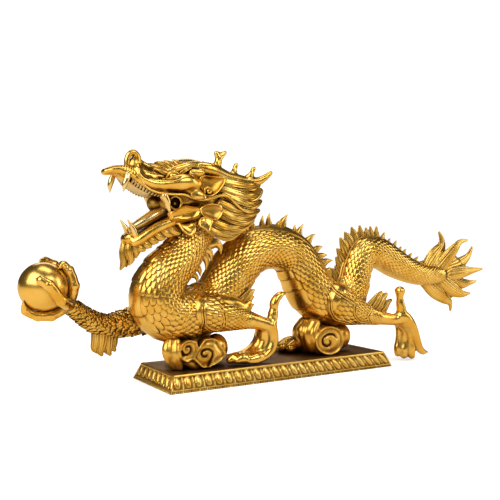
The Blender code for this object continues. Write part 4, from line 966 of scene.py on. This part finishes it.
def build_skin(brass):
    """Skull, jaws, cheeks and lips in one skin."""
    flesh = Shell()
    for rows in HEAD_FORMS:
        flesh.stroke([row[:3] + (row[4], row[3]) for row in rows], ACROSS, 48, 0.8)
    for rows in HEAD_PAIRED:
        flesh.stroke(rows, None, 32, 0.6)
        flesh.stroke(mirrored(rows), None, 32, 0.6)
    flesh.mass(-42, 0, 106, 15, 14, 15)
    flesh.mass(-86.5, 2, 106.6, 4.6, 6, 4.8)
    points, quads, normals = fused(flesh, HEAD_CELL, HEAD_SOFTEN)
    lines = (
        ((-90, -5, 127.5), (-95, -6, 129.5), (-99, -6, 132)),
        ((-88, -9, 123), (-84, -11, 121.8), (-78, -12.5, 121.6), (-73, -13, 123.4)),
        ((-92, -8, 121.8), (-97, -9, 123.4), (-99.6, -9, 127)),
        ((-72, -12, 126.6), (-66, -13, 129.4), (-60, -13, 129.4)),
        ((-76, -11, 104), (-70, -13, 105.6), (-63, -14, 106.4)),
    )
    points, cut = carve(points, normals, lines, 0.9, 0.9)
    # Painted shade: the skin darkens round the back of the open mouth, where shade falls.
    throat = np.linalg.norm(points - np.array((-85.0, 2.0, 106.0)), axis=1)
    dark = 0.7 * np.clip(1.7 - throat / 8.0, 0, 1)
    fused_piece("head_flesh", points, quads, normals, 0.6 * cut + dark, brass)


def build_face(brass, bright, dark):
    """Nose curl, whiskers, ears, cheek leaves, brows, eyes, teeth, palate and tongue."""
    parts = Shell()
    parts.stroke(NOSE_CURL, None, 24, 0.5)
    parts.stroke(WHISKER, None, 12, 0.8)
    parts.stroke(mirrored(WHISKER), None, 12, 0.8)
    for outline, face, depth, thick, tone in SHELLS:
        parts.bowl(outline, face, depth, thick, tone)
        parts.bowl(mirrored(outline), (face[0], -face[1], face[2]), depth, thick, tone)
    for rows in BROW_HAIRS:
        for hair in (rows, mirrored(rows)):
            side = math.copysign(1.0, hair[0][1])
            parts.stroke(hair, (-0.3, side, 0.5), 24, 0.9, grooves=5, depth=0.25, patina_and_shade=0.15)
    for rows in FRINGE:
        for tuft in (rows, mirrored(rows)):
            parts.stroke(tuft, (0, 1, 0), 36, 0.9, grooves=9, depth=0.2)
    band = smooth_path(LIP_BAND, 0.2)
    for i in np.linspace(0, len(band) - 1, 12).astype(int):
        x, y, z = band[i]
        for side in (1, -1):
            parts.stroke(((x + 0.9, side * (y + 1.9), z + 0.9, 0.7), (x, side * y, z + 0.2, 0.85),
                          (x - 0.5, side * (y - 0.8), z - 1.7, 0.7)), None, 10, 0.8)
    for y in (-1, 1):
        parts.mass(-79.6, y * 12.6, 123.8, 2.8, 2.2, 2.5)
        lid = [(-83.6, y * 11.2, 122.8, 0.7), (-82.2, y * 13.0, 125.4, 0.8), (-79.4, y * 13.8, 126.3, 0.9),
               (-76.6, y * 13.4, 125.0, 0.8), (-75.2, y * 12.6, 122.6, 0.6)]
        parts.stroke(lid, None, 14, 0.4)
        under = [(-83.4, y * 11.4, 122.4, 0.6), (-80.6, y * 13.4, 121.2, 0.7),
        (-77.4, y * 13.6, 121.3, 0.6),
                 (-75.2, y * 12.8, 122.4, 0.5)]
        parts.stroke(under, None, 14, 0.4)
        ring = []
        for k in range(17):
            a = math.radians(-150 + 18 * k)
            ring.append((-78.2 + 4.0 * math.cos(a), y * 13.0, 106.7 + 4.2 * math.sin(a),
                         0.55 + 0.35 * math.sin(math.pi * k / 16)))
        parts.stroke(ring, None, 14, 0.4)
        curl = []
        for k in range(12):
            a = math.radians(200 - 38 * k)
            r = 2.8 * (1 - k / 14)
            curl.append((-57.2 + r * math.cos(a), y * (17.6 + 0.1 * k), 114.7 + r * math.sin(a), 0.8))
        parts.stroke(curl, None, 12, 0.4)
        parts.mass(-78.6, y * 12.4, 106.2, 1.1, 0.9, 1.1, patina_and_shade=0.5)
    piece("head_details", *parts.arrays(), brass, "dragon_brass")

    # Painted shade: near-black ellipsoids fill the rings on the jaws and the ear curls, where shade falls.
    hollow = Shell()
    for y in (-1, 1):
        hollow.mass(-78.2, y * 11.2, 106.7, 3.9, 1.7, 4.0, patina_and_shade=1.0)
        hollow.mass(-57.2, y * 16.6, 114.6, 1.5, 1.2, 1.6, patina_and_shade=1.0)
    piece("hollow_shade_fill", *hollow.arrays(), dark, "dragon_brass")

    teeth = Shell()
    for rows in (UPPER_FANG, FAR_FANG, CORNER_FANG, mirrored(CORNER_FANG)):
        teeth.stroke(rows, None, 20, 0.5)
    for rows in LOWER_FANGS:
        teeth.stroke(rows, None, 20, 0.5)
        teeth.stroke(mirrored(rows), None, 20, 0.5)
    row = smooth_path(TOOTH_LINE, 0.2)
    for k, i in enumerate(np.linspace(0, len(row) - 1, 10).astype(int)):
        x, y, z = row[i]
        size = 1.25 - 0.05 * k
        drop = 2.5 - 0.17 * k
        for side in (1, -1):
            teeth.stroke(((x + 0.4, side * y, z + 0.6, size), (x - 0.2, side * y, z - 0.5 * drop, size),
                          (x - 0.9, side * y * 0.98, z - drop, 0.7 * size)), None, 10, 0.8, patina_and_shade=0.45)
    piece("teeth", *teeth.arrays(), bright, "dragon_brass")

    tongue = Shell()
    line = smooth_path(PALATE, 0.5)
    across = np.linspace(-1, 1, 21)[None, :]
    arch = 1.5 * (1 - across ** 2) + 0.15 * np.sin(np.arange(len(line)) * 1.3)[:, None] * (1 - across ** 4)
    sheet = np.stack([line[:, :1] + 0 * across, line[:, 2:] * across, line[:, 1:2] + arch], axis=-1)
    tongue.grids(sheet, 0.42 + 0.12 * across ** 2)
    tongue.stroke([row[:3] + (row[4], row[3]) for row in TONGUE], ACROSS, 32, 0.6, patina_and_shade=0.2)
    piece("tongue", *tongue.arrays(), bright, "dragon_brass")


def build_hair(brass):
    """Horns, mane and beard."""
    horns = Shell()
    for rows in HORN:
        horns.stroke(rows, None, 28, 0.6)
        horns.stroke(leaned(mirrored(rows)), None, 28, 0.6)
    fused_piece("horns", *fused(horns, HORN_CELL, HORN_SOFTEN), 0.0, brass)

    hair = Shell()
    for rows in MANE:
        hair.stroke(rows, (-0.2, -1, 0), 58, 1.9, grooves=14, depth=0.19, patina_and_shade=0.05, wander=1.6)
        hair.stroke(mirrored(rows), (0.2, 1, 0), 58, 1.9, grooves=14, depth=0.19, patina_and_shade=0.05, wander=1.6)
    for rows in BEARD:
        hair.stroke(rows, None, 60, 1.0, grooves=14, depth=0.16, patina_and_shade=0.1, wander=0.8)
    piece("mane_and_beard", *hair.arrays(), brass, "dragon_brass")


def build_limbs(brass, body_tree):
    """Legs, hands and feet, with small scales on the upper parts, tufts of hair and raised ribbons."""
    hand = Shell()
    reach = PEARL_RADIUS
    hand.mass(*(HAND_CENTRE + PALM * (reach + 2.2)), 5.5, 7, 6)
    for finger in FINGERS:
        turns = smooth_path([(*turn, radius) for turn, radius in zip(finger, FINGER_RADII)], 0.06)
        rows = []
        for turn in turns:
            rows.append((*(HAND_CENTRE + unit(turn[:3]) * (reach + turn[3] * 0.8)), turn[3]))
        hand.stroke(rows, None, 36, 0.8)
        for turn, radius in zip(finger[1:4], FINGER_RADII[1:4]):
            hand.mass(*(HAND_CENTRE + unit(turn) * (reach + radius * 0.85)), *(radius * 1.16,) * 3)
    hand.stroke(RAISED_ARM, None, 48, 0.8)
    points, quads, normals = fused(hand, HAND_CELL, HAND_SOFTEN)
    away = points - HAND_CENTRE
    gap = np.linalg.norm(away, axis=1)
    inside = gap < reach + 0.15
    points[inside] = HAND_CENTRE + away[inside] / gap[inside][:, None] * (reach + 0.15)
    fused_piece("raised_arm", points, quads, normals, 0.0, brass)

    trees = [body_tree]
    for name, group in (("near_foreleg", NEAR_FORELEG), ("near_hindleg", NEAR_HINDLEG),
                        ("far_hindleg", FAR_HINDLEG)):
        leg = Shell()
        for rows in group:
            leg.stroke(rows, None, 40, 0.6)
        points, quads, normals = fused(leg, LEG_CELL, LEG_SOFTEN)
        points[:, 2] = np.maximum(points[:, 2], np.where(abs(points[:, 0]) < PLINTH_LENGTH / 2, 0.0, -40.0))
        fused_piece(name, points, quads, normals, 0.0, brass)
        trees.append(BVHTree.FromPolygons(points.tolist(), quads.tolist()))

    coat = Shell()
    scale_coat(coat, Run(RAISED_ARM), 0.12, 0.90, 15, everywhere, lift=(-0.4, 1.1), jitter=0.30)
    scale_coat(coat, Run(NEAR_FORELEG[0]), 0.0, 0.62, 18, everywhere)
    scale_coat(coat, Run(NEAR_HINDLEG[0]), 0.0, 0.60, 19, everywhere)
    scale_coat(coat, Run(FAR_HINDLEG[0]), 0.0, 0.75, 15, everywhere)
    piece("limb_scales", *coat.arrays(), brass, "dragon_brass", crease=40)

    tufts = Shell()
    for rows in (*ELBOW_TUFT, *FORELEG_TUFT, *HINDLEG_TUFTS):
        tufts.stroke(rows, None, 56, 1.5, grooves=13, depth=0.16, patina_and_shade=0.1, wander=0.8)
    for line in RIBBONS:
        for shift in (-0.9, 0.9):
            path = laid(line, shift, trees)
            if len(path) > 3:
                tufts.stroke(path, None, 10, 0.8)
    piece("limb_tufts", *tufts.arrays(), brass, "dragon_brass")


def laid(line, shift, trees):
    """A line drawn on the near side, moved sideways,
    laid on whichever skin stands nearest to the viewer."""
    path = smooth_path([(x, 0.0, z) for x, z in line], 1.2)
    d = directions(path)
    path = path + shift * np.column_stack([-d[:, 2], np.zeros(len(d)), d[:, 0]])
    toward = Vector(BACK)
    out = []
    for x, _, z in path:
        start = Vector((x, -18.0, z)) + toward * 40
        best = None
        for tree in trees:
            place, _, _, far = tree.ray_cast(start, -toward, 90)
            if place is not None and (best is None or far < best[1]):
                best = (place, far)
        if best is not None:
            out.append(np.array(best[0]) + BACK * 0.75)
    if len(out) < 4:
        return out
    out = np.array(out)
    out[1:-1] = (out[:-2] + 2 * out[1:-1] + out[2:]) / 4
    return [(*p, 0.55 if 0 < i < len(out) - 1 else 0.25) for i, p in enumerate(out)]


def build_clouds(brass):
    """Scroll clouds under the two low bends of the body."""
    shell = Shell()
    for values in CLOUD_MASSES:
        shell.mass(*values)
    for rows in CLOUD_FOLDS:
        shell.stroke(rows, None, 36, 0.8)
    for outline, y, bulge, _ in SCROLLS:
        face = (0, math.copysign(1.0, y), 0)
        shell.bowl([(x, y, z) for x, z in outline], face, -bulge, 5.0)
    points, quads, normals = fused(shell, CLOUD_CELL, CLOUD_SOFTEN)
    cut = np.zeros(len(points))
    for _, y, _, hook in SCROLLS:
        line = [(x, y, z) for x, z in hook]
        points, change = carve(points, normals, [line], 0.85, 1.5, BACK if y < 0 else ACROSS)
        cut = np.maximum(cut, change)
    points[:, 2] = np.maximum(points[:, 2], 0.0)
    fused_piece("clouds", points, quads, normals, 0.8 * cut, brass, 0.32)


def build_pearl(polished):
    """The smooth ball."""
    shell = Shell()
    shell.mass(*PEARL_CENTRE, *(PEARL_RADIUS,) * 3, 48, 72)
    obj = piece("pearl_ball", *shell.arrays(), polished, "pearl_brass", seated=False)
    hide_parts("pearl")


def petal_height(across, share):
    """Height of the petal border: across runs over petals, share from the foot to the rim."""
    q = (across - np.floor(across) - 0.5) * 2
    lean = q + 0.75 * (share - 0.5)
    body = np.clip(1 - (abs(lean) / 0.62) ** 2 - ((share - 0.55) / 0.50) ** 2 * 0.9, 0, 1)
    line = np.exp(-((abs(q + 0.55 * (share - 0.5)) - 0.92) / 0.10) ** 2)
    return 1.25 * np.sqrt(body) + 0.6 * line


def build_plinth(worn, top_worn):
    """Sloping sides with a border of petals, a fine foot band, a rim and a rough top."""
    shell = Shell()
    foot, rim = FOOT_BAND, RIM_BAND
    high = PLINTH_HEIGHT - rim
    zs = np.concatenate([[0.0, 0.0], np.linspace(0.15, foot - 0.15, 6),
                        [foot], np.linspace(foot + 0.2, high - 0.2, 21),
                         [high], np.linspace(high + 0.15, PLINTH_HEIGHT - 0.1, 6), [PLINTH_HEIGHT]])
    for long_side in (True, False):
        length = PLINTH_LENGTH if long_side else PLINTH_WIDTH
        half = PLINTH_WIDTH / 2 if long_side else PLINTH_LENGTH / 2
        petals = int(round(length / PETAL_PITCH))
        u = np.linspace(-1, 1, int(length / 0.58))
        z_grid, u_grid = np.meshgrid(zs, u, indexing="ij")
        inset = PLINTH_TAPER * z_grid / PLINTH_HEIGHT
        share = np.clip((z_grid - foot) / (high - foot), 0, 1)
        middle = (z_grid > foot) & (z_grid < high)
        relief = np.where(middle, -BORDER_SUNK + petal_height((u_grid * 0.5 + 0.5) * petals, share), 0.0)
        teeth = 0.22 * np.sign(np.sin(u_grid * length * math.pi / 1.3)) - 0.22
        relief = np.where((z_grid > 0) & (z_grid < foot * 0.62), teeth, relief)
        bead = (z_grid >= high) & (z_grid < PLINTH_HEIGHT)
        relief = np.where(bead, -0.15 + 0.15 * np.sin((z_grid - high) / rim * math.pi), relief)
        relief = relief * np.clip((1 - abs(u_grid)) * length / 2 / 1.2, 0, 1)
        tone = np.where(middle, np.clip(0.75 - 1.3 * (relief + BORDER_SUNK), 0, 1),
                        np.where(relief < -0.3, 0.9, 0.1))
        for sign in (-1, 1):
            away = sign * (half - inset + relief)
            along = u_grid * (length / 2 - inset)
            if long_side:
                points = np.stack([along * -sign, away, z_grid], axis=-1)
            else:
                points = np.stack([away, along * sign, z_grid], axis=-1)
            shell.grids(points, tone)
    obj = piece("plinth_sides", *shell.arrays(), worn, "plinth_brass", seated=False, crease=60)
    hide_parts("plinth")

    cap = Shell()
    length = PLINTH_LENGTH - 2 * PLINTH_TAPER
    width = PLINTH_WIDTH - 2 * PLINTH_TAPER
    x = np.linspace(-length / 2, length / 2, 121)
    y = np.linspace(-width / 2, width / 2, 41)
    y_grid, x_grid = np.meshgrid(y, x, indexing="ij")
    edge = np.clip(np.minimum(length / 2 - abs(x_grid), width / 2 - abs(y_grid)) / 1.4, 0, 1)
    along = np.sin(x_grid * 0.9 + 1.7 * np.sin(y_grid * 0.35))
    across = np.sin(y_grid * 0.8 + 1.3 * np.sin(x_grid * 0.4))
    rough = 0.12 * along * across
    z_grid = PLINTH_HEIGHT - 0.28 * edge + rough * edge * 0.8
    cap.grids(np.stack([x_grid, y_grid, z_grid], axis=-1), 0.15 + 0.45 * edge)
    under = np.array([[(-PLINTH_LENGTH / 2, PLINTH_WIDTH / 2, 0), (PLINTH_LENGTH / 2, PLINTH_WIDTH / 2, 0)],
                      [(-PLINTH_LENGTH / 2, -PLINTH_WIDTH / 2, 0),
                      (PLINTH_LENGTH / 2, -PLINTH_WIDTH / 2, 0)]], float)
    cap.grids(under, 0.9)
    piece("plinth_top", *cap.arrays(), top_worn, "plinth_brass", seated=False)


def link(tree, source, target):
    tree.links.new(source, target)


def brass(name, bright, middle, deep, roughness, patina_and_shade_gain=1.0, noise_scale=90.0, bump=0.2,
          occlusion_shade_gain=1.1):
    """Worn brass: bright metal, warmer clouds of tone, a dark brown patina in the hollows, and painted
    shade from an occlusion node where other forms stand close."""
    mat = bpy.data.materials.new(name)
    mat.use_nodes = True
    tree = mat.node_tree
    nodes = tree.nodes
    shader = nodes["Principled BSDF"]
    shader.inputs["Metallic"].default_value = 1.0
    coords = nodes.new("ShaderNodeTexCoord")
    cloud = nodes.new("ShaderNodeTexNoise")
    cloud.inputs["Scale"].default_value = noise_scale
    cloud.inputs["Detail"].default_value = 5.0
    cloud.inputs["Roughness"].default_value = 0.6
    link(tree, coords.outputs["Object"], cloud.inputs["Vector"])
    tone = nodes.new("ShaderNodeValToRGB")
    tone.color_ramp.elements[0].position = 0.36
    tone.color_ramp.elements[0].color = (*middle, 1)
    tone.color_ramp.elements[1].position = 0.62
    tone.color_ramp.elements[1].color = (*bright, 1)
    link(tree, cloud.outputs["Fac"], tone.inputs["Fac"])
    hollow = nodes.new("ShaderNodeAttribute")
    hollow.attribute_name = "patina_and_shade"
    speck = nodes.new("ShaderNodeTexNoise")
    speck.inputs["Scale"].default_value = noise_scale * 9
    speck.inputs["Detail"].default_value = 3.0
    link(tree, coords.outputs["Object"], speck.inputs["Vector"])
    spread = nodes.new("ShaderNodeMath")
    spread.operation = 'MULTIPLY_ADD'
    link(tree, speck.outputs["Fac"], spread.inputs[0])
    spread.inputs[1].default_value = 0.26
    spread.inputs[2].default_value = -0.13
    total = nodes.new("ShaderNodeMath")
    total.operation = 'MULTIPLY_ADD'
    link(tree, hollow.outputs["Fac"], total.inputs[0])
    total.inputs[1].default_value = patina_and_shade_gain
    link(tree, spread.outputs[0], total.inputs[2])
    # Painted shade: an occlusion node darkens the metal wherever other forms stand close, on top of the
    # patina.
    occlusion_shade = nodes.new("ShaderNodeAmbientOcclusion")
    occlusion_shade.samples = 8
    occlusion_shade.inputs["Distance"].default_value = 6 * MM
    shut = nodes.new("ShaderNodeMath")
    shut.operation = 'MULTIPLY_ADD'
    link(tree, occlusion_shade.outputs["AO"], shut.inputs[0])
    shut.inputs[1].default_value = -occlusion_shade_gain
    shut.inputs[2].default_value = 0.85 * occlusion_shade_gain
    sum_up = nodes.new("ShaderNodeMath")
    sum_up.operation = 'ADD'
    link(tree, shut.outputs[0], sum_up.inputs[0])
    link(tree, total.outputs[0], sum_up.inputs[1])
    amount = nodes.new("ShaderNodeMapRange")
    amount.inputs["From Min"].default_value = 0.0
    amount.inputs["From Max"].default_value = 0.95
    link(tree, sum_up.outputs[0], amount.inputs["Value"])
    mix = nodes.new("ShaderNodeMix")
    mix.data_type = 'RGBA'
    link(tree, amount.outputs["Result"], mix.inputs["Factor"])
    link(tree, tone.outputs["Color"], mix.inputs["A"])
    mix.inputs["B"].default_value = (*deep, 1)
    link(tree, mix.outputs["Result"], shader.inputs["Base Color"])
    rough = nodes.new("ShaderNodeMapRange")
    rough.inputs["To Min"].default_value = roughness
    rough.inputs["To Max"].default_value = min(1.0, roughness + 0.3)
    link(tree, amount.outputs["Result"], rough.inputs["Value"])
    link(tree, rough.outputs["Result"], shader.inputs["Roughness"])
    bumps = nodes.new("ShaderNodeBump")
    bumps.inputs["Strength"].default_value = 0.2
    bumps.inputs["Distance"].default_value = bump * MM
    link(tree, speck.outputs["Fac"], bumps.inputs["Height"])
    link(tree, bumps.outputs["Normal"], shader.inputs["Normal"])
    return mat


def floor_paint(pale, in_metal):
    """A matt floor paint, which looks darker where the metal mirrors it."""
    mat = bpy.data.materials.new("floor_paint")
    mat.use_nodes = True
    tree = mat.node_tree
    shader = tree.nodes["Principled BSDF"]
    shader.inputs["Roughness"].default_value = 0.9
    shader.inputs["Specular IOR Level"].default_value = 0.0
    path = tree.nodes.new("ShaderNodeLightPath")
    mix = tree.nodes.new("ShaderNodeMix")
    mix.data_type = 'RGBA'
    mix.inputs["A"].default_value = (pale, pale, pale, 1)
    mix.inputs["B"].default_value = (in_metal, 0.86 * in_metal, 0.62 * in_metal, 1)
    link(tree, path.outputs["Is Glossy Ray"], mix.inputs["Factor"])
    link(tree, mix.outputs["Result"], shader.inputs["Base Color"])
    return mat


def build_stage():
    """Pale floor, soft lights and the sky that the metal reflects."""
    size = 40.0
    mesh = bpy.data.meshes.new("floor")
    mesh.from_pydata([(-size, -size, 0), (size, -size, 0), (size, size, 0),
                     (-size, size, 0)], [], [(0, 1, 2, 3)])
    floor = bpy.data.objects.new("floor", mesh)
    bpy.context.scene.collection.objects.link(floor)
    mesh.materials.append(floor_paint(0.92, FLOOR_IN_METAL))

    world = bpy.data.worlds.new("studio")
    bpy.context.scene.world = world
    world.use_nodes = True
    nodes = world.node_tree.nodes
    tree = world.node_tree
    pale = nodes["Background"]
    pale.inputs["Color"].default_value = (1, 1, 1, 1)
    pale.inputs["Strength"].default_value = SKY
    dim = nodes.new("ShaderNodeBackground")
    dim.inputs["Color"].default_value = (1.0, 0.80, 0.52, 1)
    dim.inputs["Strength"].default_value = SKY_IN_METAL
    path = nodes.new("ShaderNodeLightPath")
    choose = nodes.new("ShaderNodeMixShader")
    link(tree, path.outputs["Is Glossy Ray"], choose.inputs["Fac"])
    link(tree, pale.outputs["Background"], choose.inputs[1])
    link(tree, dim.outputs["Background"], choose.inputs[2])
    link(tree, choose.outputs["Shader"], nodes["World Output"].inputs["Surface"])

    for name, place, size_x, size_y, glow in SOFTBOXES:
        light = bpy.data.lights.new(name, 'AREA')
        light.shape = 'RECTANGLE'
        light.size = size_x
        light.size_y = size_y
        light.energy = glow * math.pi * size_x * size_y
        light.color = (1.0, 0.98, 0.94)
        lamp = bpy.data.objects.new(name, light)
        bpy.context.scene.collection.objects.link(lamp)
        lamp.location = place
        lamp.rotation_euler = (Vector((0, 0, 0.07)) - Vector(place)).to_track_quat("-Z", "Y").to_euler()


def build_camera():
    """The photograph's camera."""
    data = bpy.data.cameras.new("camera")
    data.sensor_width = 36
    data.lens = VIEW_LENS
    data.clip_start = 0.01
    data.clip_end = 200
    camera = bpy.data.objects.new("camera", data)
    bpy.context.scene.collection.objects.link(camera)
    place = (VIEW_AIM + BACK * VIEW_DISTANCE) * MM
    rows = [(RIGHT[i], UP[i], BACK[i], place[i]) for i in range(3)]
    camera.matrix_world = Matrix((*rows, (0, 0, 0, 1)))
    bpy.context.scene.camera = camera


def main():
    bpy.context.scene.view_settings.view_transform = 'Standard'
    build_camera()
    build_stage()
    cast = brass("cast_brass", (0.94, 0.61, 0.155), (0.80, 0.45, 0.065), (0.075, 0.026, 0.003), 0.25)
    scroll = brass("scroll_brass", (0.88, 0.54, 0.12), (0.70, 0.37, 0.05), (0.06, 0.020, 0.003), 0.30)
    ivory = brass("polished_brass", (0.95, 0.76, 0.40), (0.90, 0.64, 0.25), (0.12, 0.05, 0.01),
                  0.22, 0.8, occlusion_shade_gain=0.7)
    # A near-black copy of the brass, used only as painted shade that fills the hollows.
    shade = brass("painted_shade_brass", (0.10, 0.05, 0.02), (0.06, 0.03, 0.01), (0.02, 0.01, 0.005), 0.5)
    ball = brass("pearl_gold", (0.92, 0.60, 0.15), (0.84, 0.49, 0.08), (0.2, 0.08, 0.02),
                 0.27, noise_scale=40, occlusion_shade_gain=0.7)
    foot = brass("plinth_gold", (0.96, 0.64, 0.17), (0.86, 0.50, 0.08), (0.10, 0.038, 0.006),
                 0.30, occlusion_shade_gain=0.8)
    floor_top = brass("plinth_top_gold", (0.46, 0.26, 0.09), (0.28, 0.14, 0.045), (0.09, 0.04, 0.014), 0.34)
    body_tree = build_body(cast)
    build_tail(cast)
    build_skin(cast)
    build_face(cast, ivory, shade)
    build_hair(cast)
    build_limbs(cast, body_tree)
    build_clouds(scroll)
    build_pearl(ball)
    build_plinth(foot, floor_top)


main()
